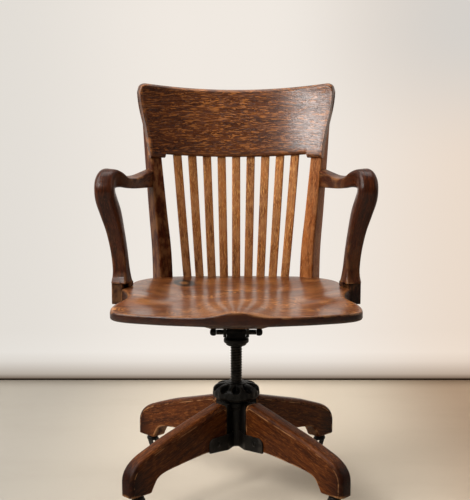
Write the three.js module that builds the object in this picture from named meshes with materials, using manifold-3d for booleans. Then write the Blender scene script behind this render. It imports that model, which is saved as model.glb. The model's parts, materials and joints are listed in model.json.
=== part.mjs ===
// A wooden office armchair on a screw-raised, swivelling and tilting iron, with four castered legs.
// Millimetres, +Z up. The sitter faces -Y. While it is built the swivel axis is x = y = 0.
import * as THREE from "three";
import { mergeVertices } from "three/addons/utils/BufferGeometryUtils.js";
import Module from "manifold-3d";

const wasm = await Module();
wasm.setup();

// Gaps
const FIT = 0.3; // between faces that meet
const RUNNING = 0.5; // round what turns or slides
const WHEEL_ROOM = 2; // round the hand wheel and the casters' wheels
const OVERRUN = 2; // how far a cutting shape runs past what it cuts

// Heights that stack up from the floor
const CASTER_HEIGHT = 62; // floor to the toe of a leg
const HUB_BOTTOM = 103;
const HUB_LENGTH = 102;
const WHEEL_HEIGHT = 43.5; // the hand wheel that raises the seat
const SCREW_SHOWN = 83.3; // bare screw between the hand wheel and the yoke
const YOKE_TO_AXLE = 29.2; // underside of the yoke to the tilt axle
const AXLE_TO_IRON = 33.9; // tilt axle to the underside of the seat iron's plate
const IRON_THICKNESS = 5;
const BLOCK_THICKNESS = 16; // the wooden block between iron and seat
const SEAT_THICKNESS = 33;
const BACK_HEIGHT = 286; // seat to the lower edge of the crest rail
const CREST_HEIGHT = 161; // at its middle

// Legs
const LEG_COUNT = 4;
const LEG_REACH = 322; // swivel axis to the toe
const LEG_THICKNESS = 36;
const LEG_RISE = 154.7; // underside of the toe to the top at the hub
const LEG_EDGE = 4; // rounding of the long edges

// Base hub, with the ears that clasp the legs
const HUB_RADIUS = 19.5;
const HUB_ARM_LENGTH = 27; // the hub's arms reach out to the legs' inner ends
const HUB_ARM_ROOT = 10; // their width at the hub, from where they widen to a leg's thickness
const HUB_FLANGE_RADIUS = 26;
const HUB_FLANGE_HEIGHT = 9; // and of the cone under it
const EAR_REACH = 102;
const EAR_HEIGHT = 31;
const EAR_THICKNESS = 4;
const EAR_CORNER = 14;
const EAR_LIFT = 6; // lower edge of the ears above the hub's foot
const LEG_BOLT_RADIUS = 4;
const LEG_BOLT_REACH = 78;
const LEG_BOLT_LIFT = 22; // above the hub's foot

// Casters
const CASTER_SETBACK = 32; // toe of a leg to the caster's stem
const CASTER_TRAIL = 14;
const CASTER_WHEEL_RADIUS = 21;
const CASTER_WHEEL_WIDTH = 15;
const CASTER_TREAD_ROUND = 4;
const CASTER_AXLE_RADIUS = 3;
const CASTER_AXLE_HEAD = 2; // how far the axle stands out of each cheek
const CASTER_CHEEK = 3; // thickness of the fork's sides
const CASTER_CHEEK_WIDTH = 11;
const CASTER_CAP_RADIUS = 13.5;
const CASTER_CAP_HEIGHT = 10;
const CASTER_PLATE_RADIUS = 12.5;
const CASTER_PLATE_THICKNESS = 3;
const CASTER_STEM_RADIUS = 4;
const CASTER_STEM_LENGTH = 34;
const CASTER_SOCKET_WALL = 1.8;

// Screw and hand wheel
const SCREW_RADIUS = 13;
const SCREW_PITCH = 6;
const THREAD_DEPTH = 1.1;
const SCREW_IN_HUB = 100; // length below the top of the hand wheel
const SCREW_NECK_RADIUS = 8;
const SCREW_NECK_LENGTH = 15;
const WHEEL_RADIUS = 52.8;
const WHEEL_FOOT_RADIUS = 25;
const WHEEL_CROWN_RADIUS = 17;
const PETALS = 10;
const PETAL_RADIUS = 35.8; // hand wheel's axis to the middle of a petal
const PETAL_LENGTH = 24;
const PETAL_WIDTH = 11;
const PETAL_DEPTH = 15;
const PETAL_TILT = 38; // degrees

// Yoke, in which the screw's neck turns, and the tilt axle that it carries
const YOKE_RADIUS = 28;
const YOKE_LIP_RADIUS = 23.2;
const YOKE_LIP_HEIGHT = 5.3;
const YOKE_COLLAR_HEIGHT = 11;
const YOKE_EDGE = 2.5;
const YOKE_BOSS_WIDTH = 42.6;
const YOKE_BOSS_DEPTH = 30;
const YOKE_BOSS_ROUND = 12;
const WASHER_RADIUS = 14;
const WASHER_THICKNESS = 3;
const AXLE_RADIUS = 5.8;
const AXLE_NUT_RADIUS = 8.4;
const AXLE_NUT_REACH = 58.5; // swivel axis to the end of a nut
const AXLE_NUT_LENGTH = 14;

// Seat iron
const IRON_WIDTH = 104;
const IRON_FRONT = 100;
const IRON_BACK = 105;
const IRON_CHEEK = 7; // thickness
const IRON_CHEEK_WIDTH = 24;
const IRON_CHEEK_TOP_WIDTH = 64;

// Tilt spring behind the yoke
const SPRING_BACK = 60; // swivel axis to the spring's axis
const SPRING_RADIUS = 14; // to the middle of the wire
const SPRING_WIRE = 4; // diameter
const SPRING_CURLS = 4;
const SPRING_STEPS = 8;
const SPRING_SIDES = 5;
const ARM_PLATE_THICKNESS = 9; // the yoke's rear arm, which carries the spring
const ARM_PLATE_WIDTH = 40;
const ARM_PLATE_BELOW_AXLE = 9; // tilt axle to the top of that arm
const BOLT_RADIUS = 4;
const BOLT_HEAD_RADIUS = 8;
const BOLT_HEAD_HEIGHT = 4;
const BOLT_SWING = 5; // room round the bolt as the seat tilts
const CUP_RADIUS = 18;
const CUP_HEIGHT = 4;
const KNOB_RADIUS = 17;
const KNOB_HEIGHT = 12;
const KNOB_LOBES = 6;
const KNOB_LOBE_DEPTH = 2;

// Block under the seat
const BLOCK_WIDTH = 200;
const BLOCK_FOOT_WIDTH = 106;
const BLOCK_FRONT = 150;
const BLOCK_BACK = 130;

// Seat
const SEAT_WIDTH = 532;
const SEAT_FRONT = 219; // swivel axis to the front edge
const SEAT_BACK = 236;
const DISH_DEPTH = 15;
const FRONT_FALL = 13; // the front edge lies this far under the rim, beside the pommel
const POMMEL_WIDTH = 50;
const SEAT_TOP_ROUND = 6;
const SEAT_UNDER_ROUND = 7;

// Back
const BACK_SET = 219; // swivel axis to the front of the middle slat, at the seat
const BACK_RAKE = 84; // how far the back leans from the seat to the top
const BACK_CURVE_LOW = 1400; // plan radius of the back at the seat
const BACK_CURVE_HIGH = 520; // and at the crest rail
const SLAT_COUNT = 9;
const SLAT_WIDTH = 20;
const SLAT_THICKNESS = 10;
const SLAT_EDGE = 1.5;
const SLAT_TENON_LOW = 12;
const SLAT_TENON_HIGH = 16;
const POST_WIDTH = 33; // at the foot, as is its depth
const POST_DEPTH = 56;
const POST_EDGE = 3;
const POST_INSET_LOW = 99; // seat's widest side to the middle of a post's foot
const POST_INSET_HIGH = 24; // crest rail's upper corner to the middle of a post's top
const POST_ABOVE_CREST_FOOT = 150;

// Crest rail
const CREST_THICKNESS = 24;
const CREST_PROUD = 9; // how far it stands in front of the slats
const CREST_TOP_WIDTH = 464;
const CREST_FOOT_WIDTH = 410;
const CREST_NOTCH_WIDTH = 340; // between the steps over the posts
const CREST_STEP = 8;
const CREST_BOW = 8; // how far its lower edge sags at the middle
const CREST_HORN = 18; // how far its ends rise over the middle
const CREST_ROUND = 9;
const CREST_CORNER = 16;

// Arms
const ARM_RISE = 274; // seat to the top of the knuckle
const ARM_RUN = 224; // front of the knuckle to the post
const ARM_SPLAY = 32; // how far the knuckle stands out beyond the foot
const ARM_WIDTH = 42;
const ARM_DEPTH = 50;
const STUMP_WIDTH = 36;
const STUMP_SHOE = 26; // thickness of the part that runs down beside the seat
const STUMP_SHOE_SETBACK = 3;
const STUMP_SHOE_DROP = 4; // below the seat
const STUMP_SEATING = 10; // how far the foot reaches over the seat
const STUMP_LEDGE = 12; // height of the step over the seat
const ARM_SCREW_RADIUS = 3.5;
const ARM_SCREW_HEAD_RADIUS = 6;
const ARM_SCREW_HEAD_HEIGHT = 3;
const ARM_SCREW_LENGTH = 42;

// How finely round shapes are cut
const ROUND = 24;
const SMALL_ROUND = 12;
const CASTER_ROUND = 20;
const WHEEL_ROUND = 30;
const BALL_ROUND = 6;
const THREAD_SIDES = 8;
const THREAD_RINGS = 3; // per turn of the thread
const KNOB_LOBE_POINTS = 6;
const SLAT_STEPS = 5;
const ARM_STEPS = 25;
const SEAT_FRONT_STEPS = 19;
const SEAT_BACK_STEPS = 10;
const PLATE_CURVE_STEPS = 8;
const LEG_CURVE_STEPS = 4;

// Where the outer slats stand, at the seat and at the crest rail's foot: shares of the posts' spread.
const SLAT_SPREAD_LOW_SHARE = 0.702;
const SLAT_SPREAD_HIGH_SHARE = 0.673;

// How much of a rounding is left to cut at its middle point.
const MID_ROUND_SHARE = 0.3;

// Heights and reaches worked out from these
const wheelBottom = HUB_BOTTOM + HUB_LENGTH + FIT;
const wheelTop = wheelBottom + WHEEL_HEIGHT;
const yokeBottom = wheelTop + SCREW_SHOWN;
const axleHeight = yokeBottom + YOKE_TO_AXLE;
const ironBottom = axleHeight + AXLE_TO_IRON;
const blockBottom = ironBottom + IRON_THICKNESS + FIT;
const seatBottom = blockBottom + BLOCK_THICKNESS + FIT;
const seatTop = seatBottom + SEAT_THICKNESS;
const legBottom = CASTER_HEIGHT + FIT;
const hubArmReach = HUB_RADIUS + HUB_ARM_LENGTH;
const crestBottom = seatTop + BACK_HEIGHT;
const backTop = crestBottom + CREST_HEIGHT;
const seatLength = SEAT_FRONT + SEAT_BACK;
const seatHalf = SEAT_WIDTH / 2;
const postSpreadLow = seatHalf - POST_INSET_LOW;
const postSpreadHigh = CREST_TOP_WIDTH / 2 - POST_INSET_HIGH;
const slatPitch = (share, postSpread) => (2 * share * postSpread) / (SLAT_COUNT - 1);
const slatPitchLow = slatPitch(SLAT_SPREAD_LOW_SHARE, postSpreadLow);
const slatPitchHigh = slatPitch(SLAT_SPREAD_HIGH_SHARE, postSpreadHigh);
const casterReach = LEG_REACH - CASTER_SETBACK;

// Finishes
const wood = (color, roughness) => new THREE.MeshStandardMaterial({ color, roughness, metalness: 0 });
const iron = (color, roughness) => new THREE.MeshStandardMaterial({ color, roughness, metalness: 0.8 });
const seatOak = wood(0x6b3216, 0.35);
const backOak = wood(0x6a3a1b, 0.4);
const armOak = wood(0x4a2413, 0.35);
const legOak = wood(0x6a3518, 0.45);
const blackIron = iron(0x14130f, 0.5);
const screwSteel = iron(0x1b1916, 0.4);

const chair = new THREE.Group();

// Adds a named piece to a group.
function add(name, shape, material, group = chair) {
  const geometry = shape.isBufferGeometry ? shape : geometryOf(shape);
  const mesh = new THREE.Mesh(geometry, material);
  mesh.name = name;
  group.add(mesh);
  return mesh;
}

// A closed geometry as a solid that can be joined and cut.
function solidOf(geometry) {
  const bare = new THREE.BufferGeometry();
  bare.setAttribute("position", geometry.getAttribute("position"));
  if (geometry.index) bare.setIndex(geometry.index);
  const merged = mergeVertices(bare);
  return new wasm.Manifold(
    new wasm.Mesh({
      numProp: 3,
      vertProperties: merged.getAttribute("position").array,
      triVerts: new Uint32Array(merged.index.array),
    }),
  );
}

function geometryOf(solid) {
  const mesh = solid.getMesh();
  const geometry = new THREE.BufferGeometry();
  geometry.setAttribute("position", new THREE.BufferAttribute(mesh.vertProperties, 3));
  geometry.setIndex(new THREE.BufferAttribute(mesh.triVerts, 1));
  return geometry;
}

const join = (first, ...rest) => rest.reduce((all, next) => all.add(next), first);
const cut = (first, ...rest) => rest.reduce((left, next) => left.subtract(next), first);

// Points and faces as one closed geometry whose faces look out.
function closed(points, faces) {
  let volume = 0;
  for (const [a, b, c] of faces) {
    volume += points[a].dot(new THREE.Vector3().crossVectors(points[b], points[c]));
  }
  const facing = volume < 0 ? faces.map(([a, b, c]) => [a, c, b]) : faces;
  const geometry = new THREE.BufferGeometry().setFromPoints(points);
  geometry.setIndex(facing.flat());
  return geometry;
}

// Skins rings of equally many points, one after another, and closes both ends.
function loft(rings) {
  const count = rings[0].length;
  const points = rings.flat();
  const faces = [];
  for (let ring = 0; ring + 1 < rings.length; ring++) {
    for (let k = 0; k < count; k++) {
      const a = ring * count + k;
      const b = ring * count + ((k + 1) % count);
      faces.push([a, b, b + count], [a, b + count, a + count]);
    }
  }
  const middle = (ring) => ring.reduce((sum, p) => sum.add(p), new THREE.Vector3()).divideScalar(count);
  const first = points.push(middle(rings[0])) - 1;
  const last = points.push(middle(rings.at(-1))) - 1;
  const lastStart = (rings.length - 1) * count;
  for (let k = 0; k < count; k++) {
    const next = (k + 1) % count;
    faces.push([first, next, k], [last, lastStart + k, lastStart + next]);
  }
  return closed(points, faces);
}

// A rectangle with rounded corners as a ring of points, given its centre and two directions.
function roundedRing(centre, across, up, halfWidth, halfHeight, round, steps = 2) {
  const ring = [];
  for (const [sx, sy, start] of [[1, 1, 0], [-1, 1, 1], [-1, -1, 2], [1, -1, 3]]) {
    for (let k = 0; k <= steps; k++) {
      const angle = (start + k / steps) * (Math.PI / 2);
      const x = sx * (halfWidth - round) + round * Math.cos(angle);
      const y = sy * (halfHeight - round) + round * Math.sin(angle);
      ring.push(centre.clone().addScaledVector(across, x).addScaledVector(up, y));
    }
  }
  return ring;
}

// A solid of revolution about +Z from a list of [radius, height].
function turned(profile, segments = ROUND) {
  const points = profile.map(([radius, height]) => new THREE.Vector2(radius, height));
  const geometry = new THREE.LatheGeometry(points, segments);
  return solidOf(closedLathe(geometry).rotateX(Math.PI / 2));
}

// Turns a revolved skin's faces out, whichever way round its profile was written.
function closedLathe(geometry) {
  const position = geometry.getAttribute("position");
  const at = (k) => new THREE.Vector3().fromBufferAttribute(position, k);
  const index = Array.from(geometry.index.array);
  let volume = 0;
  for (let k = 0; k < index.length; k += 3) {
    volume += at(index[k]).dot(at(index[k + 1]).cross(at(index[k + 2])));
  }
  if (volume < 0) {
    for (let k = 0; k < index.length; k += 3) [index[k], index[k + 1]] = [index[k + 1], index[k]];
    geometry.setIndex(index);
  }
  return geometry;
}

// A round bar from one point to another.
function bar(radius, from, to, segments = SMALL_ROUND) {
  const along = new THREE.Vector3().subVectors(to, from);
  const geometry = new THREE.CylinderGeometry(radius, radius, along.length(), segments);
  const turn = new THREE.Quaternion();
  turn.setFromUnitVectors(new THREE.Vector3(0, 1, 0), along.clone().normalize());
  geometry.applyQuaternion(turn);
  const middle = new THREE.Vector3().addVectors(from, to).divideScalar(2);
  return solidOf(geometry.translate(middle.x, middle.y, middle.z));
}

// A flat outline given as [across, up], thickened by depth about the plane y = 0 and standing on edge.
function board(shape, depth, edge = 0, curveSteps = 6) {
  const geometry = new THREE.ExtrudeGeometry(shape, {
    depth: depth - 2 * edge,
    bevelEnabled: edge > 0,
    bevelSize: edge,
    bevelThickness: edge,
    bevelOffset: -edge,
    bevelSegments: 1,
    curveSegments: curveSteps,
  });
  geometry.translate(0, 0, edge - depth / 2);
  return solidOf(geometry.rotateX(Math.PI / 2));
}

const vec = (x, y, z) => new THREE.Vector3(x, y, z);

// An eased step from 0 at a to 1 at b.
function ease(a, b, value) {
  const t = THREE.MathUtils.clamp((value - a) / (b - a), 0, 1);
  return t * t * (3 - 2 * t);
}

// A smooth reading of a table of rows at t, from 0 at its first row to 1 at its last.
function readTable(table, t) {
  const place = t * (table.length - 1);
  const low = Math.min(Math.floor(place), table.length - 2);
  const w = place - low;
  const row = (k) => table[THREE.MathUtils.clamp(k, 0, table.length - 1)];
  return table[0].map((_, c) => {
    const [p0, p1, p2, p3] = [row(low - 1)[c], row(low)[c], row(low + 1)[c], row(low + 2)[c]];
    return p1 + 0.5 * w * (p2 - p0 + w * (2 * p0 - 5 * p1 + 4 * p2 - p3 + w * (3 * (p1 - p2) + p3 - p0)));
  });
}

// Seat outline, right half, from the front's middle to the point in front of the arm's foot.
// Shares of the half width and of the length from the front edge.
const SEAT_FRONT_SHARES = [
  [0, 0],
  [0.226, 0.011],
  [0.414, 0.031],
  [0.564, 0.048],
  [0.714, 0.073],
  [0.846, 0.099],
  [0.94, 0.13],
  [0.989, 0.165],
  [1, 0.2],
  [0.998, 0.24],
  [0.975, 0.284],
  [0.931, 0.327],
  [0.9, 0.371],
  [0.9, 0.433],
  [0.92, 0.499],
  [0.953, 0.558],
  [0.974, 0.591],
];
// The same outline from behind the arm's foot to the back's middle.
const SEAT_BACK_SHARES = [
  [0.925, 0.69],
  [0.921, 0.745],
  [0.902, 0.807],
  [0.857, 0.866],
  [0.778, 0.921],
  [0.677, 0.958],
  [0.556, 0.978],
  [0.301, 0.993],
  [0, 1],
];
const SEAT_RING_SHARES = [0.3, 0.54, 0.72, 0.86, 0.94];
const DISH_START_SHARE = 0.97;
const DISH_FLOOR_SHARE = 0.5;
const FRONT_FADE_SHARE = 0.1; // of the front length, where the fall at the sides begins
const FRONT_FULL_SHARE = 0.68;
const POMMEL_FADE_SHARE = 0.05;

const seatPlace = ([x, y]) => new THREE.Vector2(x * seatHalf, y * seatLength - SEAT_FRONT);
const smoothRow = (shares, steps) =>
  Array.from({ length: steps + 1 }, (_, k) => seatPlace(readTable(shares, k / steps)));

// The straight seat edge beside an arm's foot, on the right.
const shoeFront = seatPlace(SEAT_FRONT_SHARES.at(-1));
const shoeBack = seatPlace(SEAT_BACK_SHARES[0]);

// Height of the seat's top at a point, where share is 0 at the middle and 1 at the edge.
function seatHeight(x, y, share) {
  const front = ease(FRONT_FADE_SHARE * SEAT_FRONT, FRONT_FULL_SHARE * SEAT_FRONT, -y);
  const pommel = Math.exp(-((x / POMMEL_WIDTH) ** 2));
  const ridge = pommel * ease(-POMMEL_FADE_SHARE * SEAT_FRONT, SEAT_FRONT, -y);
  const edgeFall = FRONT_FALL * front * (1 - pommel);
  const bowl = DISH_DEPTH * (1 - ridge);
  const inside = ease(DISH_START_SHARE, DISH_FLOOR_SHARE, share);
  return seatTop - THREE.MathUtils.lerp(edgeFall, Math.max(bowl, edgeFall), inside);
}

function seatSolid() {
  const front = smoothRow(SEAT_FRONT_SHARES, SEAT_FRONT_STEPS);
  const back = smoothRow(SEAT_BACK_SHARES, SEAT_BACK_STEPS);
  const right = [...front, ...back];
  const left = right.slice(1, -1).reverse().map((p) => new THREE.Vector2(-p.x, p.y));
  const outline = [...right, ...left];
  const inset = (p, by) => p.clone().multiplyScalar(1 - by / p.length());
  const topRing = (share) => outline.map((p) => {
    const [x, y] = [p.x * share, p.y * share];
    return vec(x, y, seatHeight(x, y, share));
  });
  const sideRing = (by, height) => outline.map((p) => {
    const q = inset(p, by);
    return vec(q.x, q.y, height(p));
  });
  const rim = (p) => seatHeight(p.x, p.y, 1);
  const rings = [
    ...SEAT_RING_SHARES.map(topRing),
    sideRing(SEAT_TOP_ROUND, rim),
    sideRing(SEAT_TOP_ROUND * MID_ROUND_SHARE, (p) => rim(p) - SEAT_TOP_ROUND * MID_ROUND_SHARE),
    sideRing(0, (p) => rim(p) - SEAT_TOP_ROUND),
    sideRing(0, () => seatBottom + SEAT_UNDER_ROUND),
    sideRing(SEAT_UNDER_ROUND * MID_ROUND_SHARE, () => seatBottom + SEAT_UNDER_ROUND * MID_ROUND_SHARE),
    sideRing(SEAT_UNDER_ROUND, () => seatBottom),
  ];
  return solidOf(loft(rings));
}

// Lean of the back: shares of its height over the seat, and of its whole rake.
const RAKE_SHARES = [0, 0.06, 0.17, 0.33, 0.53, 0.76, 1];

// Middle of the back's front surface at a height.
function backLean(z) {
  const t = THREE.MathUtils.clamp((z - seatTop) / (backTop - seatTop), 0, 1);
  return BACK_SET + BACK_RAKE * readTable(RAKE_SHARES.map((share) => [share]), t)[0];
}

// Plan curvature of the back at a height.
function backCurve(z) {
  const t = THREE.MathUtils.clamp((z - seatTop) / BACK_HEIGHT, 0, 1);
  return THREE.MathUtils.lerp(1 / BACK_CURVE_LOW, 1 / BACK_CURVE_HIGH, t);
}

// The front surface of the back: how far behind the swivel axis it lies at x and z.
const backFace = (x, z) => backLean(z) - (x * x * backCurve(z)) / 2;

// Direction across the back at x and z, and the direction straight back from it, in plan.
function backFrame(x, z) {
  const angle = -Math.atan(x * backCurve(z));
  const [c, s] = [Math.cos(angle), Math.sin(angle)];
  return { across: vec(c, s, 0), back: vec(-s, c, 0) };
}

// A slat, or with a gap the space that it takes in its neighbours.
function slatSolid(number, gap = 0) {
  const low = seatTop - SLAT_TENON_LOW - gap;
  const high = crestBottom + SLAT_TENON_HIGH + gap;
  const rings = [];
  for (let k = 0; k <= SLAT_STEPS; k++) {
    const z = THREE.MathUtils.lerp(low, high, k / SLAT_STEPS);
    const pitch = THREE.MathUtils.lerp(slatPitchLow, slatPitchHigh, (z - seatTop) / BACK_HEIGHT);
    const x = number * pitch;
    const { across, back } = backFrame(x, z);
    const centre = vec(x, backFace(x, z), z).addScaledVector(back, SLAT_THICKNESS / 2);
    rings.push(
      roundedRing(centre, across, back, SLAT_WIDTH / 2 + gap, SLAT_THICKNESS / 2 + gap, SLAT_EDGE, 1),
    );
  }
  return solidOf(loft(rings));
}

// Post rows: height share, spread share from low to high, turn in degrees, width and depth shares.
const POST_SHARES = [
  [0, 0, 24, 1, 1],
  [0.07, 0, 24, 1, 1],
  [0.22, 0.07, 24, 0.98, 0.96],
  [0.4, 0.27, 24, 0.93, 0.9],
  [0.58, 0.46, 24, 0.88, 0.84],
  [0.72, 0.62, 24, 0.85, 0.77],
  [0.87, 0.83, 24, 0.82, 0.62],
  [1, 1, 24, 0.82, 0.54],
];
const postBottom = seatBottom;
const postTop = crestBottom + POST_ABOVE_CREST_FOOT;

// A back post, or with a gap the space that it takes in its neighbours.
function postSolid(side, gap = 0) {
  const rings = POST_SHARES.map(([rise, spread, turn, width, depth], row) => {
    const end = row === 0 ? -gap : row === POST_SHARES.length - 1 ? gap : 0;
    const z = THREE.MathUtils.lerp(postBottom, postTop, rise) + end;
    const x = THREE.MathUtils.lerp(postSpreadLow, postSpreadHigh, spread);
    const angle = THREE.MathUtils.degToRad(turn);
    const across = vec(side * Math.cos(angle), -Math.sin(angle), 0);
    const back = vec(side * Math.sin(angle), Math.cos(angle), 0);
    const half = (POST_DEPTH * depth) / 2;
    const centre = vec(side * x, backFace(x, z), z).addScaledVector(back, half);
    return roundedRing(centre, across, back, (POST_WIDTH * width) / 2 + gap, half + gap, POST_EDGE, 1);
  });
  return solidOf(loft(rings));
}

const CREST_HORN_POWER = 2; // how late the upper edge rises towards the ends

// Crest columns from the middle to an end, as shares of the half width.
const CREST_COLUMN_SHARES = [0, 0.12, 0.24, 0.36, 0.48, 0.6, 0.71, 0.8, 0.822, 0.836, 0.9, 0.95, 0.982, 1];

function crestSolid() {
  const sides = [...CREST_COLUMN_SHARES.slice(1).reverse().map((c) => -c), ...CREST_COLUMN_SHARES];
  const notch = CREST_NOTCH_WIDTH / CREST_FOOT_WIDTH;
  const front = -CREST_PROUD;
  const back = CREST_THICKNESS - CREST_PROUD;
  const r = CREST_ROUND;
  const n = CREST_ROUND * MID_ROUND_SHARE;
  const rings = sides.map((c) => {
    const a = Math.abs(c);
    const cornerX = Math.max(0, a * CREST_TOP_WIDTH / 2 - (CREST_TOP_WIDTH / 2 - CREST_CORNER));
    const corner = CREST_CORNER - Math.sqrt(CREST_CORNER ** 2 - Math.min(cornerX, CREST_CORNER) ** 2);
    const low = crestBottom + (a < notch ? CREST_BOW * (a / notch) ** 2 : CREST_BOW - CREST_STEP);
    const high = crestBottom + CREST_HEIGHT + CREST_HORN * a ** CREST_HORN_POWER - corner;
    const section = [
      [front, low + r], [front + n, low + n], [front + r, low],
      [back - r, low], [back - n, low + n], [back, low + r],
      [back, THREE.MathUtils.lerp(low, high, 1 / 3)], [back, THREE.MathUtils.lerp(low, high, 2 / 3)],
      [back, high - r], [back - n, high - n], [back - r, high],
      [front + r, high], [front + n, high - n], [front, high - r],
      [front, THREE.MathUtils.lerp(low, high, 2 / 3)], [front, THREE.MathUtils.lerp(low, high, 1 / 3)],
    ];
    return section.map(([depth, z]) => {
      const rise = ease(crestBottom, backTop, z);
      const x = (c * THREE.MathUtils.lerp(CREST_FOOT_WIDTH, CREST_TOP_WIDTH, rise)) / 2;
      const { back: away } = backFrame(x, z);
      return vec(x, backFace(x, z), z).addScaledVector(away, depth);
    });
  });
  return solidOf(loft(rings));
}

// Arm stations from the foot to the post: shares of the splay, run and rise, then of the width and
// depth, the pitch, turn and roll of the section in degrees, and the share of it that is rounded.
const ARM_SHARES = [
  [0, 0.284, 0, 0.86, 0.92, 0, 16, 0, 0.25],
  [0, 0.284, 0.044, 0.86, 0.92, 0, 16, 0, 0.25],
  [0.01, 0.29, 0.07, 0.84, 0.86, 0, 14, 0, 0.28],
  [0.02, 0.299, 0.105, 0.8, 0.79, -2, 12, 0, 0.32],
  [0.06, 0.306, 0.17, 0.77, 0.74, -2, 9, 0, 0.34],
  [0.18, 0.302, 0.31, 0.8, 0.75, -7, 5, 0, 0.34],
  [0.4, 0.268, 0.48, 0.88, 0.8, -14, 3, 0, 0.36],
  [0.64, 0.22, 0.617, 1.02, 0.88, -19, 2, 0, 0.42],
  [0.9, 0.17, 0.735, 1.08, 0.96, -14, 1, 0, 0.52],
  [0.99, 0.14, 0.81, 1.06, 1.02, 5, 0, 0, 0.62],
  [0.97, 0.165, 0.87, 1.04, 1, 40, 2, 0, 0.66],
  [0.76, 0.225, 0.908, 1.04, 0.92, 72, 8, 3, 0.62],
  [0.42, 0.32, 0.905, 1, 0.72, 92, 20, 10, 0.5],
  [0.02, 0.44, 0.875, 0.9, 0.5, 99, 23, 15, 0.42],
  [-0.37, 0.58, 0.857, 0.81, 0.48, 93, 20, 13, 0.36],
  [-0.76, 0.72, 0.85, 0.74, 0.54, 89, 23, 8, 0.32],
  [-1.24, 0.86, 0.856, 0.67, 0.7, 86, 27, 3, 0.3],
  [-1.77, 1, 0.865, 0.62, 0.88, 88, 28, 0, 0.28],
];

// The line along which an arm's foot meets the seat's side: its direction, and the way out from it.
const shoeRun = new THREE.Vector2().subVectors(shoeBack, shoeFront);
const armFootX = (shoeFront.x + shoeBack.x) / 2 + FIT + STUMP_SHOE - STUMP_WIDTH / 2;
const armFrontY = shoeFront.y - ARM_RUN * ARM_SHARES[0][1] + (ARM_DEPTH * ARM_SHARES[0][4]) / 2;

function armSolid(side) {
  const rings = [];
  for (let k = 0; k <= ARM_STEPS; k++) {
    const [splay, run, rise, width, depth, pitch, turn, roll, rounded] = readTable(ARM_SHARES, k / ARM_STEPS);
    const centre = vec(
      side * (armFootX + splay * ARM_SPLAY),
      armFrontY + run * ARM_RUN,
      seatTop + FIT + rise * ARM_RISE,
    );
    const [p, t, r] = [pitch, turn, roll].map(THREE.MathUtils.degToRad);
    const turnAround = new THREE.Matrix4().makeRotationZ(side * t);
    const across = vec(side * Math.cos(r), 0, Math.sin(r)).applyMatrix4(turnAround);
    const out = vec(-side * Math.sin(r) * Math.sin(p), -Math.cos(p), Math.sin(p) * Math.cos(r));
    const halfWidth = (ARM_WIDTH * width) / 2;
    const halfDepth = (ARM_DEPTH * depth) / 2;
    const round = rounded * Math.min(halfWidth, halfDepth);
    rings.push(roundedRing(centre, across, out.applyMatrix4(turnAround), halfWidth, halfDepth, round));
  }
  return solidOf(loft(rings));
}

// A slab in plan between two lines beside the seat's edge at an arm's foot, from one height to another.
function besideSeat(side, from, to, ahead, behind, low, high) {
  const along = shoeRun.clone().normalize();
  const out = new THREE.Vector2(along.y, -along.x);
  const corner = (outward, lengthways) => {
    const p = shoeFront.clone().addScaledVector(out, outward).addScaledVector(along, lengthways);
    return [side * p.x, p.y];
  };
  const length = shoeRun.length();
  const [start, end] = [-ahead, length + behind];
  const plan = [corner(from, start), corner(to, start), corner(to, end), corner(from, end)];
  return solidOf(loft([low, high].map((z) => plan.map(([x, y]) => vec(x, y, z)))));
}

// The whole arm: bent rest and stump, its step over the seat, and the shoe beside the seat.
function wholeArm(side, post) {
  const step = seatTop + STUMP_LEDGE;
  const under = besideSeat(
    side, -STUMP_WIDTH, STUMP_WIDTH, STUMP_WIDTH, STUMP_WIDTH, seatTop - OVERRUN, step);
  const seating = besideSeat(
    side, -STUMP_SEATING, FIT + OVERRUN, -shoeRun.length() / 2, 0, seatTop + FIT, step + OVERRUN);
  const shoe = besideSeat(
    side, FIT, FIT + STUMP_SHOE, -STUMP_SHOE_SETBACK, 0, seatBottom - STUMP_SHOE_DROP, step + OVERRUN);
  return cut(join(cut(armSolid(side), under), seating, shoe), post);
}

// A screw from a point along a direction, with its head behind that point.
function screwAlong(from, direction, length, radius, headRadius, headHeight) {
  const tip = from.clone().addScaledVector(direction, length);
  const headStart = from.clone().addScaledVector(direction, -headHeight);
  const shankStart = from.clone().addScaledVector(direction, -headHeight / 2);
  return join(bar(radius, shankStart, tip), bar(headRadius, headStart, from));
}

// Back: posts, slats and crest rail, and the holes that they need
const posts = new Map([[-1, postSolid(-1)], [1, postSolid(1)]]);
const postRoom = [postSolid(-1, FIT), postSolid(1, FIT)];
const slatNumbers = Array.from({ length: SLAT_COUNT }, (_, k) => k - (SLAT_COUNT - 1) / 2);
const slatRoom = slatNumbers.map((number) => slatSolid(number, FIT));

// Screws that hold the arms to the seat and to the posts, and the posts to the seat
const screwShape = (from, direction, gap = 0) => screwAlong(
  from, direction, ARM_SCREW_LENGTH + gap, ARM_SCREW_RADIUS + gap, ARM_SCREW_HEAD_RADIUS + gap,
  ARM_SCREW_HEAD_HEIGHT + gap);
const shoeMiddle = new THREE.Vector2().addVectors(shoeFront, shoeBack).divideScalar(2);
const shoeIn = new THREE.Vector2(-shoeRun.y, shoeRun.x).normalize();
const seatMiddleHeight = (seatBottom + seatTop) / 2;
const postFootRow = POST_SHARES[0];
const postTurn = THREE.MathUtils.degToRad(postFootRow[2]);

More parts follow.
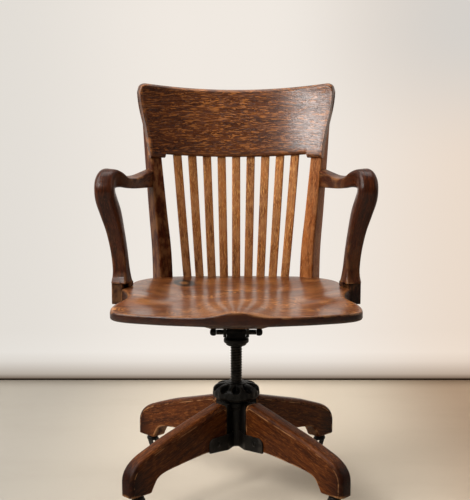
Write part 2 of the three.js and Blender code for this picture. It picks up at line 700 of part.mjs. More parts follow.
const stumpScrewPlace = (side) => {
  const place = shoeMiddle.clone().addScaledVector(shoeIn, -(STUMP_SHOE + FIT) + ARM_SCREW_HEAD_HEIGHT);
  return [vec(side * place.x, place.y, seatMiddleHeight), vec(side * shoeIn.x, shoeIn.y, 0)];
};
const postScrewPlace = (side) => {
  const back = vec(side * Math.sin(postTurn), Math.cos(postTurn), 0);
  const face = vec(side * postSpreadLow, backFace(postSpreadLow, seatTop), seatMiddleHeight);
  const start = face.addScaledVector(back, POST_DEPTH - ARM_SCREW_HEAD_HEIGHT);
  return [start, back.clone().negate()];
};
const postScrewLength = POST_DEPTH + ARM_SCREW_LENGTH / 2;
const postScrewShape = ([from, direction], gap = 0) => screwAlong(
  from, direction, postScrewLength + gap, ARM_SCREW_RADIUS + gap, ARM_SCREW_HEAD_RADIUS + gap,
  ARM_SCREW_HEAD_HEIGHT + gap);

const stumpScrewRoom = [-1, 1].map((side) => screwShape(...stumpScrewPlace(side), FIT));
const postScrewRoom = [-1, 1].map((side) => postScrewShape(postScrewPlace(side), FIT));

const seat = cut(seatSolid(), ...slatRoom, ...postRoom, ...stumpScrewRoom, ...postScrewRoom);
add("seat", seat, seatOak);
add("crest_rail", cut(crestSolid(), ...slatRoom, ...postRoom), backOak);
slatNumbers.forEach((number, k) => add(`back_slat_${k + 1}`, slatSolid(number), backOak));
for (const [side, name] of [[-1, "left"], [1, "right"]]) {
  const k = (side + 1) / 2;
  add(`back_post_${name}`, cut(posts.get(side), postScrewRoom[k]), backOak);
  add(`arm_${name}`, cut(wholeArm(side, postRoom[k]), stumpScrewRoom[k]), armOak);
  add(`stump_screw_${name}`, screwShape(...stumpScrewPlace(side)), screwSteel);
  add(`post_screw_${name}`, postScrewShape(postScrewPlace(side)), screwSteel);
}

// Block under the seat, whose long sides slope in towards the iron
const BLOCK_SLOPE_SHARE = 0.8;

function seatBlock() {
  const half = BLOCK_WIDTH / 2;
  const foot = BLOCK_FOOT_WIDTH / 2;
  const shape = new THREE.Shape([
    new THREE.Vector2(-foot, blockBottom),
    new THREE.Vector2(foot, blockBottom),
    new THREE.Vector2(half, blockBottom + BLOCK_THICKNESS * BLOCK_SLOPE_SHARE),
    new THREE.Vector2(half, blockBottom + BLOCK_THICKNESS),
    new THREE.Vector2(-half, blockBottom + BLOCK_THICKNESS),
    new THREE.Vector2(-half, blockBottom + BLOCK_THICKNESS * BLOCK_SLOPE_SHARE),
  ]);
  const length = BLOCK_FRONT + BLOCK_BACK;
  return board(shape, length).translate([0, (BLOCK_BACK - BLOCK_FRONT) / 2, 0]);
}
const boltTop = blockBottom - FIT;

// Seat iron: a plate with two cheeks that hang on the tilt axle
function seatIron() {
  const plate = board(
    new THREE.Shape([
      new THREE.Vector2(-IRON_WIDTH / 2, ironBottom),
      new THREE.Vector2(IRON_WIDTH / 2, ironBottom),
      new THREE.Vector2(IRON_WIDTH / 2, ironBottom + IRON_THICKNESS),
      new THREE.Vector2(-IRON_WIDTH / 2, ironBottom + IRON_THICKNESS),
    ]),
    IRON_FRONT + IRON_BACK,
  ).translate([0, (IRON_BACK - IRON_FRONT) / 2, 0]);
  const cheekShape = new THREE.Shape();
  const r = IRON_CHEEK_WIDTH / 2;
  cheekShape.moveTo(-IRON_CHEEK_TOP_WIDTH / 2, ironBottom + IRON_THICKNESS / 2);
  cheekShape.quadraticCurveTo(-r, ironBottom - IRON_THICKNESS, -r, axleHeight);
  cheekShape.absarc(0, axleHeight, r, Math.PI, 0, false);
  cheekShape.quadraticCurveTo(
    r, ironBottom - IRON_THICKNESS, IRON_CHEEK_TOP_WIDTH / 2, ironBottom + IRON_THICKNESS / 2);
  const x = YOKE_BOSS_WIDTH / 2 + RUNNING + IRON_CHEEK / 2;
  const cheek = (side) => board(cheekShape, IRON_CHEEK).rotate([0, 0, 90]).translate([side * x, 0, 0]);
  const reach = x + IRON_CHEEK;
  const axleHole = bar(AXLE_RADIUS + FIT, vec(-reach, 0, axleHeight), vec(reach, 0, axleHeight));
  const boltHole = bar(
    BOLT_RADIUS + FIT, vec(0, SPRING_BACK, ironBottom - OVERRUN), vec(0, SPRING_BACK, boltTop + OVERRUN));
  const headHole = bar(
    BOLT_HEAD_RADIUS + FIT, vec(0, SPRING_BACK, boltTop - BOLT_HEAD_HEIGHT - FIT),
    vec(0, SPRING_BACK, boltTop + OVERRUN));
  return cut(join(plate, cheek(-1), cheek(1)), axleHole, boltHole, headHole);
}

// Yoke: stepped collar round the screw's neck, a boss for the axle, and a rear arm for the spring
function screwYoke() {
  const collarTop = yokeBottom + YOKE_LIP_HEIGHT + YOKE_COLLAR_HEIGHT;
  const collar = turned([
    [0, yokeBottom],
    [YOKE_LIP_RADIUS - YOKE_EDGE, yokeBottom],
    [YOKE_LIP_RADIUS, yokeBottom + YOKE_EDGE],
    [YOKE_LIP_RADIUS, yokeBottom + YOKE_LIP_HEIGHT],
    [YOKE_RADIUS - YOKE_EDGE, yokeBottom + YOKE_LIP_HEIGHT],
    [YOKE_RADIUS, yokeBottom + YOKE_LIP_HEIGHT + YOKE_EDGE],
    [YOKE_RADIUS, collarTop],
    [0, collarTop],
  ]);
  const bossShape = new THREE.Shape();
  const half = YOKE_BOSS_DEPTH / 2;
  bossShape.moveTo(-half, collarTop - OVERRUN);
  bossShape.lineTo(half, collarTop - OVERRUN);
  bossShape.lineTo(YOKE_BOSS_ROUND, axleHeight);
  bossShape.absarc(0, axleHeight, YOKE_BOSS_ROUND, 0, Math.PI, false);
  const boss = board(bossShape, YOKE_BOSS_WIDTH).rotate([0, 0, 90]);
  const plateTop = axleHeight - ARM_PLATE_BELOW_AXLE;
  const plan = new THREE.Shape();
  const w = ARM_PLATE_WIDTH / 2;
  plan.moveTo(-w, 0);
  plan.lineTo(w, 0);
  plan.lineTo(w, SPRING_BACK);
  plan.absarc(0, SPRING_BACK, w, 0, Math.PI, false);
  const flat = { depth: ARM_PLATE_THICKNESS, bevelEnabled: false, curveSegments: PLATE_CURVE_STEPS };
  const plate = solidOf(
    new THREE.ExtrudeGeometry(plan, flat).translate(0, 0, plateTop - ARM_PLATE_THICKNESS),
  );
  const neck = bar(
    SCREW_NECK_RADIUS + RUNNING, vec(0, 0, yokeBottom - OVERRUN),
    vec(0, 0, yokeBottom + SCREW_NECK_LENGTH + RUNNING));
  const washerSeat = bar(
    WASHER_RADIUS + RUNNING, vec(0, 0, yokeBottom - OVERRUN),
    vec(0, 0, yokeBottom + WASHER_THICKNESS + FIT), ROUND);
  const axleHole = bar(
    AXLE_RADIUS + RUNNING, vec(-YOKE_BOSS_WIDTH, 0, axleHeight), vec(YOKE_BOSS_WIDTH, 0, axleHeight));
  const boltHole = bar(
    BOLT_RADIUS + BOLT_SWING, vec(0, SPRING_BACK, plateTop - ARM_PLATE_THICKNESS - OVERRUN),
    vec(0, SPRING_BACK, plateTop + OVERRUN));
  return cut(join(collar, boss, plate), neck, washerSeat, axleHole, boltHole);
}

add("seat_block", seatBlock(), seatOak);
add("seat_iron", seatIron(), blackIron);
add("screw_yoke", screwYoke(), blackIron);

// Nut outline: shares of its radius and of its length.
const AXLE_NUT_SHARES = [[0, 0], [0.8, 0], [1, 0.2], [1, 0.6], [0.72, 0.88], [0, 1]];
const nutStart = AXLE_NUT_REACH - AXLE_NUT_LENGTH;
add("tilt_axle", bar(AXLE_RADIUS, vec(-nutStart, 0, axleHeight), vec(nutStart, 0, axleHeight)), blackIron);
for (const [side, name] of [[-1, "left"], [1, "right"]]) {
  const nut = turned(
    AXLE_NUT_SHARES.map(([r, h]) => [r * AXLE_NUT_RADIUS, h * AXLE_NUT_LENGTH]), SMALL_ROUND);
  const placed = nut.rotate([0, side * 90, 0]).translate([side * (nutStart + FIT), 0, axleHeight]);
  add(`axle_nut_${name}`, placed, blackIron);
}

// Tilt spring: one tube wound between the yoke's rear arm and the cup under the seat iron
const springLow = axleHeight - ARM_PLATE_BELOW_AXLE + FIT;
const cupTop = ironBottom - FIT;
const springHigh = cupTop - CUP_HEIGHT - FIT;

function tiltSpring() {
  const wire = SPRING_WIRE / 2;
  const rise = springHigh - springLow - 2 * SPRING_WIRE;
  const steps = SPRING_CURLS * SPRING_STEPS;
  const path = [vec(SPRING_RADIUS, SPRING_BACK, springLow)];
  for (let k = 0; k <= steps; k++) {
    const angle = (2 * Math.PI * k) / SPRING_STEPS;
    path.push(vec(
      SPRING_RADIUS * Math.cos(angle),
      SPRING_BACK + SPRING_RADIUS * Math.sin(angle),
      springLow + SPRING_WIRE + (rise * k) / steps,
    ));
  }
  path.push(vec(SPRING_RADIUS, SPRING_BACK, springHigh));
  const rings = path.map((point, k) => {
    const atEnd = k === 0 || k === path.length - 1;
    const before = path[Math.max(k - 1, 0)];
    const after = path[Math.min(k + 1, path.length - 1)];
    const along = atEnd ? vec(0, 0, 1) : new THREE.Vector3().subVectors(after, before).normalize();
    const radial = vec(point.x, point.y - SPRING_BACK, 0).normalize();
    const side = new THREE.Vector3().crossVectors(along, radial).normalize();
    const outward = new THREE.Vector3().crossVectors(side, along);
    return Array.from({ length: SPRING_SIDES }, (_, s) => {
      const angle = (2 * Math.PI * s) / SPRING_SIDES;
      return point.clone()
        .addScaledVector(outward, wire * Math.cos(angle))
        .addScaledVector(side, wire * Math.sin(angle));
    });
  });
  return { geometry: loft(rings), rings };
}

// Least distance between points of the wire that lie at least half a curl apart along it.
function leastSelfGap(rings) {
  let least = Infinity;
  const apart = SPRING_STEPS / 2;
  rings.forEach((ring, k) => {
    for (const other of rings.slice(k + apart + 1)) {
      for (const p of ring) for (const q of other) least = Math.min(least, p.distanceTo(q));
    }
  });
  return least;
}

const spring = tiltSpring();
add("tilt_spring", spring.geometry, screwSteel);
console.log(`least gap of the tilt spring to itself: ${leastSelfGap(spring.rings).toFixed(2)} mm`);

const plateUnder = axleHeight - ARM_PLATE_BELOW_AXLE - ARM_PLATE_THICKNESS;
const knobTop = plateUnder - FIT;
const knobBottom = knobTop - KNOB_HEIGHT;
const behind = (height) => vec(0, SPRING_BACK, height);
const boltEnd = knobBottom - OVERRUN;
const springBolt = join(
  bar(BOLT_RADIUS, behind(boltEnd), behind(boltTop)),
  bar(BOLT_HEAD_RADIUS, behind(boltTop - BOLT_HEAD_HEIGHT), behind(boltTop)),
);
add("spring_bolt", springBolt, screwSteel);

const cup = cut(
  bar(CUP_RADIUS, behind(cupTop - CUP_HEIGHT), behind(cupTop), ROUND),
  bar(BOLT_RADIUS + FIT, behind(cupTop - CUP_HEIGHT - OVERRUN), behind(cupTop + OVERRUN)),
);
add("spring_cup", cup, blackIron);

function knob() {
  const shape = new THREE.Shape();
  const points = KNOB_LOBES * KNOB_LOBE_POINTS;
  for (let k = 0; k < points; k++) {
    const angle = (2 * Math.PI * k) / points;
    const radius = KNOB_RADIUS - (KNOB_LOBE_DEPTH / 2) * (1 - Math.cos(KNOB_LOBES * angle));
    const place = [radius * Math.cos(angle), radius * Math.sin(angle)];
    if (k === 0) shape.moveTo(...place);
    else shape.lineTo(...place);
  }
  const geometry = new THREE.ExtrudeGeometry(shape, { depth: KNOB_HEIGHT, bevelEnabled: false });
  const body = solidOf(geometry.translate(0, SPRING_BACK, knobBottom));
  return cut(body, bar(BOLT_RADIUS + FIT, behind(knobBottom - OVERRUN), behind(knobTop + OVERRUN)));
}
add("tension_knob", knob(), blackIron);

// Screw: a threaded bar whose smooth neck turns in the yoke
function screwSolid() {
  const low = wheelTop - SCREW_IN_HUB;
  const high = yokeBottom - FIT;
  const count = Math.round(((high - low) / SCREW_PITCH) * THREAD_RINGS);
  const rings = [];
  for (let k = 0; k <= count; k++) {
    const z = low + ((high - low) * k) / count;
    rings.push(Array.from({ length: THREAD_SIDES }, (_, s) => {
      const share = s / THREAD_SIDES;
      const wave = Math.cos(2 * Math.PI * ((z - low) / SCREW_PITCH - share));
      const radius = SCREW_RADIUS - (THREAD_DEPTH / 2) * (1 - wave);
      return vec(radius * Math.cos(2 * Math.PI * share), radius * Math.sin(2 * Math.PI * share), z);
    }));
  }
  const neckTop = yokeBottom + SCREW_NECK_LENGTH;
  const neck = bar(SCREW_NECK_RADIUS, vec(0, 0, high - OVERRUN), vec(0, 0, neckTop), ROUND);
  return join(solidOf(loft(rings)), neck);
}
add("height_screw", screwSolid(), screwSteel);

const washer = cut(
  bar(WASHER_RADIUS, vec(0, 0, yokeBottom), vec(0, 0, yokeBottom + WASHER_THICKNESS), ROUND),
  bar(
    SCREW_NECK_RADIUS + RUNNING, vec(0, 0, yokeBottom - OVERRUN),
    vec(0, 0, yokeBottom + WASHER_THICKNESS + OVERRUN), ROUND),
);
add("thrust_washer", washer, screwSteel);

// Hand wheel: a domed casting with a petal-shaped pocket in each lobe
const WHEEL_PROFILE_SHARES = [ // of the radius and of the height
  [WHEEL_FOOT_RADIUS / WHEEL_RADIUS, 0],
  [0.7, 0.1],
  [0.9, 0.2],
  [0.99, 0.34],
  [1, 0.5],
  [0.965, 0.68],
  [0.86, 0.83],
  [0.66, 0.92],
  [0.45, 0.95],
  [WHEEL_CROWN_RADIUS / WHEEL_RADIUS, 1],
];
const PETAL_LIFT_SHARE = 0.86; // of the height

function handWheel() {
  const bore = SCREW_RADIUS + RUNNING;
  const skin = WHEEL_PROFILE_SHARES.map(([r, h]) => [r * WHEEL_RADIUS, wheelBottom + h * WHEEL_HEIGHT]);
  const body = turned([[bore, wheelBottom], ...skin, [bore, wheelTop], [bore, wheelBottom]], WHEEL_ROUND);
  const pockets = [];
  for (let k = 0; k < PETALS; k++) {
    const angle = (2 * Math.PI * (k + 0.5)) / PETALS;
    const pocket = new THREE.SphereGeometry(1, BALL_ROUND, BALL_ROUND - 1);
    pocket.scale(PETAL_LENGTH / 2, PETAL_WIDTH / 2, PETAL_DEPTH);
    pocket.rotateY(THREE.MathUtils.degToRad(PETAL_TILT));
    pocket.translate(PETAL_RADIUS, 0, wheelBottom + WHEEL_HEIGHT * PETAL_LIFT_SHARE);
    pockets.push(solidOf(pocket.rotateZ(angle)));
  }
  return cut(body, ...pockets);
}
add("height_wheel", handWheel(), blackIron);

// Base hub with an arm and a pair of ears for each leg
const hubConeBottom = HUB_BOTTOM + HUB_LENGTH - 2 * HUB_FLANGE_HEIGHT;

function baseHub() {
  const top = HUB_BOTTOM + HUB_LENGTH;
  const tube = turned([
    [0, HUB_BOTTOM],
    [HUB_RADIUS, HUB_BOTTOM],
    [HUB_RADIUS, hubConeBottom],
    [HUB_FLANGE_RADIUS, top - HUB_FLANGE_HEIGHT],
    [HUB_FLANGE_RADIUS, top],
    [0, top],
  ]);
  const low = HUB_BOTTOM + EAR_LIFT;
  const high = low + EAR_HEIGHT;
  const shape = new THREE.Shape();
  shape.moveTo(0, HUB_BOTTOM);
  shape.lineTo(HUB_RADIUS, HUB_BOTTOM);
  shape.lineTo(EAR_REACH, low);
  shape.lineTo(EAR_REACH, high - EAR_CORNER);
  shape.quadraticCurveTo(EAR_REACH, high, EAR_REACH - EAR_CORNER, high);
  shape.lineTo(0, high);
  const block = board(shape, 2 * LEG_THICKNESS);
  const sleeve = block.intersect(armPlan(FIT + EAR_THICKNESS, HUB_BOTTOM - OVERRUN, high + OVERRUN));
  const rib = board(legShape(), LEG_THICKNESS)
    .intersect(armPlan(0, legBottom, legBottom + LEG_RISE))
    .trimByPlane([-1, 0, 0], -hubArmReach);
  const arm = cut(join(sleeve, rib), wheelRoom());
  const arms = legs.map((_, k) => arm.rotate([0, 0, legAngle(k)]));
  const bore = bar(SCREW_RADIUS + RUNNING, vec(0, 0, HUB_BOTTOM - OVERRUN), vec(0, 0, top + OVERRUN), ROUND);
  const slots = legs.map((_, k) => legRoom().rotate([0, 0, legAngle(k)]));
  const boltHoles = legs.map((_, k) => legBolt(FIT, OVERRUN).rotate([0, 0, legAngle(k)]));
  return cut(join(tube, ...arms), bore, ...slots, ...boltHoles);
}

// Legs stand at the corners of a square seen from above.
const legAngle = (k) => (360 / LEG_COUNT) * (k + 0.5) - 180;

// Leg outline: shares of the length from hub to toe and of the rise, along the top then the underside.
const LEG_TOP_SHARES = [[0, 1], [0.145, 0.935], [0.443, 0.775], [0.642, 0.667], [0.838, 0.535]];
const LEG_TOE_SHARES = [[0.95, 0.455], [1, 0.34], [1, 0.198]];
const LEG_UNDER_SHARES = [
  [0.814, 0], [0.788, 0.089], [0.751, 0.179], [0.685, 0.228], [0.553, 0.262], [0.281, 0.308], [0, 0.29],
];

function legShape() {
  const length = LEG_REACH - HUB_RADIUS;
  const at = ([r, h]) => new THREE.Vector2(HUB_RADIUS + r * length, legBottom + h * LEG_RISE);
  const shape = new THREE.Shape();
  const start = at(LEG_TOP_SHARES[0]);
  shape.moveTo(start.x, start.y);
  for (const row of LEG_TOP_SHARES.slice(1)) shape.lineTo(at(row).x, at(row).y);
  const [first, second, toe] = LEG_TOE_SHARES.map(at);
  shape.bezierCurveTo(first.x, first.y, second.x, second.y, toe.x, toe.y);
  shape.lineTo(LEG_REACH, legBottom);
  for (const row of LEG_UNDER_SHARES) shape.lineTo(at(row).x, at(row).y);
  return shape;
}

function legBolt(gap = 0, beyond = 0) {
  const half = LEG_THICKNESS / 2 + FIT + EAR_THICKNESS + beyond;
  const z = HUB_BOTTOM + LEG_BOLT_LIFT;
  return bar(LEG_BOLT_RADIUS + gap, vec(LEG_BOLT_REACH, -half, z), vec(LEG_BOLT_REACH, half, z));
}

// An arm of the hub and its leg in plan, grown by gap: it widens from the hub to the leg's inner end.
function armPlan(gap, low, high) {
  const root = HUB_ARM_ROOT / 2 + gap;
  const half = LEG_THICKNESS / 2 + gap;
  const side = [[0, root], [HUB_RADIUS, root], [hubArmReach, half], [LEG_REACH, half]];
  const plan = [...side, ...side.map(([r, across]) => [r, -across]).reverse()];
  return solidOf(loft([low, high].map((z) => plan.map(([x, y]) => vec(x, y, z)))));
}

// The space that a leg takes between the ears, and the space that the hand wheel turns in.
const legRoom = () => armPlan(FIT, HUB_BOTTOM - OVERRUN, HUB_BOTTOM + EAR_LIFT + EAR_HEIGHT + OVERRUN)
  .trimByPlane([1, 0, 0], hubArmReach);
const wheelRoom = () => bar(
  WHEEL_RADIUS + WHEEL_ROOM, vec(0, 0, wheelBottom - FIT), vec(0, 0, wheelTop), ROUND);

const socketRadius = CASTER_STEM_RADIUS + RUNNING + CASTER_SOCKET_WALL;
const socketLength = CASTER_STEM_LENGTH + OVERRUN;
const capTop = CASTER_HEIGHT - CASTER_PLATE_THICKNESS - RUNNING;
const capBottom = capTop - CASTER_CAP_HEIGHT;
// Cap outline: shares of its radius and of its height.
const CASTER_CAP_SHARES = [[0, 0], [0.9, 0], [1, 0.3], [1, 0.7], [0.8, 1]];
// Where the cheeks leave the cap, ahead of the stem and behind it: shares of the cap's radius.
const [CHEEK_FRONT_SHARE, CHEEK_BACK_SHARE] = [0.55, 0.75];

const legs = Array.from({ length: LEG_COUNT }, () => {
  const blank = board(legShape(), LEG_THICKNESS, LEG_EDGE, LEG_CURVE_STEPS)
    .trimByPlane([1, 0, 0], hubArmReach + FIT);
  const socketHole = bar(
    socketRadius + FIT, vec(casterReach, 0, legBottom - OVERRUN),
    vec(casterReach, 0, legBottom + socketLength + FIT));
  return cut(blank, socketHole, wheelRoom(), legBolt(FIT, OVERRUN));
});

legs.forEach((leg, k) => {
  const name = k + 1;
  const group = new THREE.Group();
  group.rotation.z = THREE.MathUtils.degToRad(legAngle(k));
  chair.add(group);
  add(`leg_${name}`, leg, legOak, group);
  add(`leg_bolt_${name}`, legBolt(), blackIron, group);
  const caster = new THREE.Group();
  caster.position.x = casterReach;
  group.add(caster);
  add(`caster_socket_${name}`, casterSocket(), blackIron, caster);
  add(`caster_fork_${name}`, casterFork(), blackIron, caster);
  add(`caster_axle_${name}`, casterAxle(), screwSteel, caster);
  add(`caster_wheel_${name}`, casterWheel(), blackIron, caster);
});
add("base_hub", baseHub(), blackIron);

// Caster pieces stand on the swivel axis at the origin and trail towards -X.
function casterSocket() {
  const bore = CASTER_STEM_RADIUS + RUNNING;
  const top = legBottom + socketLength;
  return turned([
    [bore, capTop + RUNNING],
    [CASTER_PLATE_RADIUS, capTop + RUNNING],
    [CASTER_PLATE_RADIUS, CASTER_HEIGHT],
    [socketRadius, CASTER_HEIGHT],
    [socketRadius, top],
    [bore, top],
    [bore, capTop + RUNNING],
  ], SMALL_ROUND);
}

function casterFork() {
  const cap = turned([
    ...CASTER_CAP_SHARES.map(([r, h]) => [r * CASTER_CAP_RADIUS, capBottom + h * CASTER_CAP_HEIGHT]),
    [CASTER_STEM_RADIUS, capTop],
    [CASTER_STEM_RADIUS, capTop + CASTER_PLATE_THICKNESS + CASTER_STEM_LENGTH],
    [0, capTop + CASTER_PLATE_THICKNESS + CASTER_STEM_LENGTH],
  ], SMALL_ROUND);
  const half = CASTER_CHEEK_WIDTH / 2;
  const shape = new THREE.Shape();
  shape.moveTo(CASTER_CAP_RADIUS * CHEEK_FRONT_SHARE, capTop - CASTER_CAP_HEIGHT / 2);
  shape.lineTo(-CASTER_CAP_RADIUS * CHEEK_BACK_SHARE, capTop - CASTER_CAP_HEIGHT / 2);
  shape.lineTo(-CASTER_TRAIL - half, CASTER_WHEEL_RADIUS);
  shape.absarc(-CASTER_TRAIL, CASTER_WHEEL_RADIUS, half, Math.PI, 2 * Math.PI, false);
  const offset = CASTER_WHEEL_WIDTH / 2 + RUNNING + CASTER_CHEEK / 2;
  const cheek = (side) => board(shape, CASTER_CHEEK).translate([0, side * offset, 0]);
  const reach = offset + CASTER_CHEEK;
  const hole = bar(
    CASTER_AXLE_RADIUS + FIT, vec(-CASTER_TRAIL, -reach, CASTER_WHEEL_RADIUS),
    vec(-CASTER_TRAIL, reach, CASTER_WHEEL_RADIUS));
  const rollerRoom = bar(
    CASTER_WHEEL_RADIUS + WHEEL_ROOM,
    vec(-CASTER_TRAIL, -CASTER_WHEEL_WIDTH / 2 - RUNNING, CASTER_WHEEL_RADIUS),
    vec(-CASTER_TRAIL, CASTER_WHEEL_WIDTH / 2 + RUNNING, CASTER_WHEEL_RADIUS), CASTER_ROUND);
  return cut(join(cap, cheek(-1), cheek(1)), hole, rollerRoom);
}

function casterAxle() {
  const half = CASTER_WHEEL_WIDTH / 2 + RUNNING + CASTER_CHEEK + CASTER_AXLE_HEAD;
  return bar(
    CASTER_AXLE_RADIUS, vec(-CASTER_TRAIL, -half, CASTER_WHEEL_RADIUS),
    vec(-CASTER_TRAIL, half, CASTER_WHEEL_RADIUS));
}

function casterWheel() {
  const bore = CASTER_AXLE_RADIUS + RUNNING;
  const half = CASTER_WHEEL_WIDTH / 2;
  const tread = CASTER_WHEEL_RADIUS / Math.cos(Math.PI / CASTER_ROUND); // so that a flat meets the floor
  const wheel = turned([
    [bore, -half],
    [tread - CASTER_TREAD_ROUND, -half],
    [tread, -half + CASTER_TREAD_ROUND],
    [tread, half - CASTER_TREAD_ROUND],
    [tread - CASTER_TREAD_ROUND, half],
    [bore, half],
    [bore, -half],
  ], CASTER_ROUND);
  const placed = wheel.rotate([0, 0, 180 / CASTER_ROUND]).rotate([90, 0, 0]);
  return placed.translate([-CASTER_TRAIL, 0, CASTER_WHEEL_RADIUS]);
}

// The origin is under the middle of the whole chair's box.
chair.updateMatrixWorld(true);
const centre = new THREE.Box3().setFromObject(chair).getCenter(new THREE.Vector3());
chair.position.set(-centre.x, -centre.y, 0);
console.log(`swivel axis at y = ${(-centre.y).toFixed(3)} mm, tilt axle at z = ${axleHeight.toFixed(2)} mm`);

export default chair;
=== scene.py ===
"""A wooden office armchair on a screw-raised, swivelling and tilting iron, with four castered legs.

Shapes are written in millimetres with the swivel axis at x = y = 0, and build() turns them into metres in the
chair's own frame. Each wooden piece carries its own wood coordinates: along the grain, across it and through it.
"""
import json
import math

import bmesh
import bpy
import numpy as np
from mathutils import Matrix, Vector


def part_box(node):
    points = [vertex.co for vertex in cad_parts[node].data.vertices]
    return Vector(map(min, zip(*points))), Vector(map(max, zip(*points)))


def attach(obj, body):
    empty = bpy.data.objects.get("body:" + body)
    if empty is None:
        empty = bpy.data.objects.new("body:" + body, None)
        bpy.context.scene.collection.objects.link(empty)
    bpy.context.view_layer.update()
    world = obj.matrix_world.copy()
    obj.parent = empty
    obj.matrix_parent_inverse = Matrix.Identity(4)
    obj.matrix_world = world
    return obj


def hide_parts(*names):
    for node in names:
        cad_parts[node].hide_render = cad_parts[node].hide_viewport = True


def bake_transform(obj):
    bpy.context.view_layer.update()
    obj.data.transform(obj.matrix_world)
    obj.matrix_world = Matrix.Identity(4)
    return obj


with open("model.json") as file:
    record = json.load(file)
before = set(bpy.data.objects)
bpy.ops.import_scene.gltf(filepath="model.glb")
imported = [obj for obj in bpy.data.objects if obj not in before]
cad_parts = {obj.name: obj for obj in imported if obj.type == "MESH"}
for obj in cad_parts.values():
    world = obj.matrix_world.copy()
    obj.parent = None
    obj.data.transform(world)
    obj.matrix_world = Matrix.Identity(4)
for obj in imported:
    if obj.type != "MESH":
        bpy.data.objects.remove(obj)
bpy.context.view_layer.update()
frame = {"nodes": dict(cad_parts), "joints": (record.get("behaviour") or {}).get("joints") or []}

MM = 0.001
SIDES = ((-1, "left"), (1, "right"))
JOINTS = {joint["name"]: joint for joint in frame["joints"]}
SWIVEL_Y = JOINTS["seat_swivel"]["pos_m"][1]


def low(node):
    """Height of a node's underside, in millimetres."""
    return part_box(node)[0].z / MM


def high(node):
    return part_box(node)[1].z / MM


# Heights; most of them are the frame's
SEAT_BOTTOM = low("seat")
SEAT_TOP = high("seat")
CREST_BOTTOM = SEAT_TOP + 286
CREST_HEIGHT = 161
BACK_TOP = CREST_BOTTOM + CREST_HEIGHT
AXLE_HEIGHT = JOINTS["seat_tilt"]["pos_m"][2] / MM
YOKE_BOTTOM = low("screw_yoke")
WHEEL_BOTTOM, WHEEL_TOP = low("height_wheel"), high("height_wheel")
HUB_BOTTOM, HUB_TOP = low("base_hub"), high("base_hub")
LEG_BOTTOM = low("leg_1")
IRON_BOTTOM = high("seat_iron") - 5
BLOCK_BOTTOM, BLOCK_TOP = low("seat_block"), high("seat_block")


# Numbers, tables and outlines

def ease(a, b, value):
    t = np.clip((np.asarray(value, float) - a) / (b - a), 0, 1)
    return t * t * (3 - 2 * t)


def lerp(a, b, t):
    return a + (b - a) * t


def read_table(table, t):
    """A smooth reading of a table's rows at t, from 0 at its first row to 1 at its last."""
    table = np.asarray(table, float)
    t = np.atleast_1d(np.asarray(t, float))
    place = t * (len(table) - 1)
    start = np.clip(np.floor(place).astype(int), 0, len(table) - 2)
    w = (place - start)[:, None]
    row = lambda k: table[np.clip(k, 0, len(table) - 1)]
    p0, p1, p2, p3 = row(start - 1), row(start), row(start + 1), row(start + 2)
    return p1 + 0.5 * w * (p2 - p0 + w * (2 * p0 - 5 * p1 + 4 * p2 - p3 + w * (3 * (p1 - p2) + p3 - p0)))


def curve(a, b, c, count):
    """Points from a to c on a curve that leaves a towards b and comes to c from b."""
    return [(1 - s) ** 2 * a + 2 * s * (1 - s) * b + s * s * c for s in np.linspace(0, 1, count)]


def round_corners(points, radius, steps=4, closed=False):
    """A 2-D outline with each corner eased by a curve that starts radius before it."""
    points = [np.asarray(p, float) for p in points]
    count = len(points)
    out = []
    for k, p in enumerate(points):
        if not closed and k in (0, count - 1):
            out.append(p)
            continue
        before, after = points[k - 1] - p, points[(k + 1) % count] - p
        start, end = (p + way * min(0.5, radius / max(np.linalg.norm(way), 1e-6)) for way in (before, after))
        out += curve(start, p, end, steps + 1)
    return out


def rounded_ring(centre, across, up, half_width, half_height, radius, steps=4):
    """A rectangle with rounded corners as a ring of points."""
    ring = []
    for sx, sy, start in ((1, 1, 0), (-1, 1, 1), (-1, -1, 2), (1, -1, 3)):
        for k in range(steps + 1):
            angle = (start + k / steps) * math.pi / 2
            x = sx * (half_width - radius) + radius * math.cos(angle)
            y = sy * (half_height - radius) + radius * math.sin(angle)
            ring.append(centre + across * x + up * y)
    return ring


def vec(*values):
    return np.array(values, float)


def turn_z(points, degrees):
    angle = math.radians(degrees)
    c, s = math.cos(angle), math.sin(angle)
    return np.asarray(points, float) @ np.array([[c, s, 0], [-s, c, 0], [0, 0, 1]])


def turned(shape, degrees, out=0.0):
    """A shape moved out along +X and then turned about +Z."""
    points, faces = shape
    return turn_z(points + vec(out, 0, 0), degrees), faces


QUARTER = np.linspace(0, math.pi / 2, 7)  # angles of a rounded edge's rings


def full_turn(count):
    return np.arange(count) * 2 * math.pi / count


def circle(radius, height, angles):
    """A ring about +Z; its radius and height are numbers, or one number for each angle."""
    return np.column_stack([radius * np.cos(angles), radius * np.sin(angles), height + 0 * angles])


def arc(across, up, radius, start, end, count):
    """Points on a circle about (across, up), from start to end in half turns."""
    return [vec(across + radius * math.cos(a), up + radius * math.sin(a))
            for a in np.linspace(start * math.pi, end * math.pi, count)]


def loft(rings, closed=False):
    """Points and faces of a skin over rings of equally many points; closed joins the last ring to the first."""
    rings = np.asarray(rings, float)
    rows, count = rings.shape[:2]
    faces = []
    for r in range(rows if closed else rows - 1):
        here, above = r * count, (r + 1) % rows * count
        for k in range(count):
            beside = (k + 1) % count
            faces.append((here + k, here + beside, above + beside, above + k))
    if not closed:
        faces.append(tuple(range(count))[::-1])
        faces.append(tuple(range((rows - 1) * count, rows * count)))
    return rings.reshape(-1, 3), faces


LATHE_CORE = 0.02  # least radius of a lathe's ring, so that no ring shrinks to a point


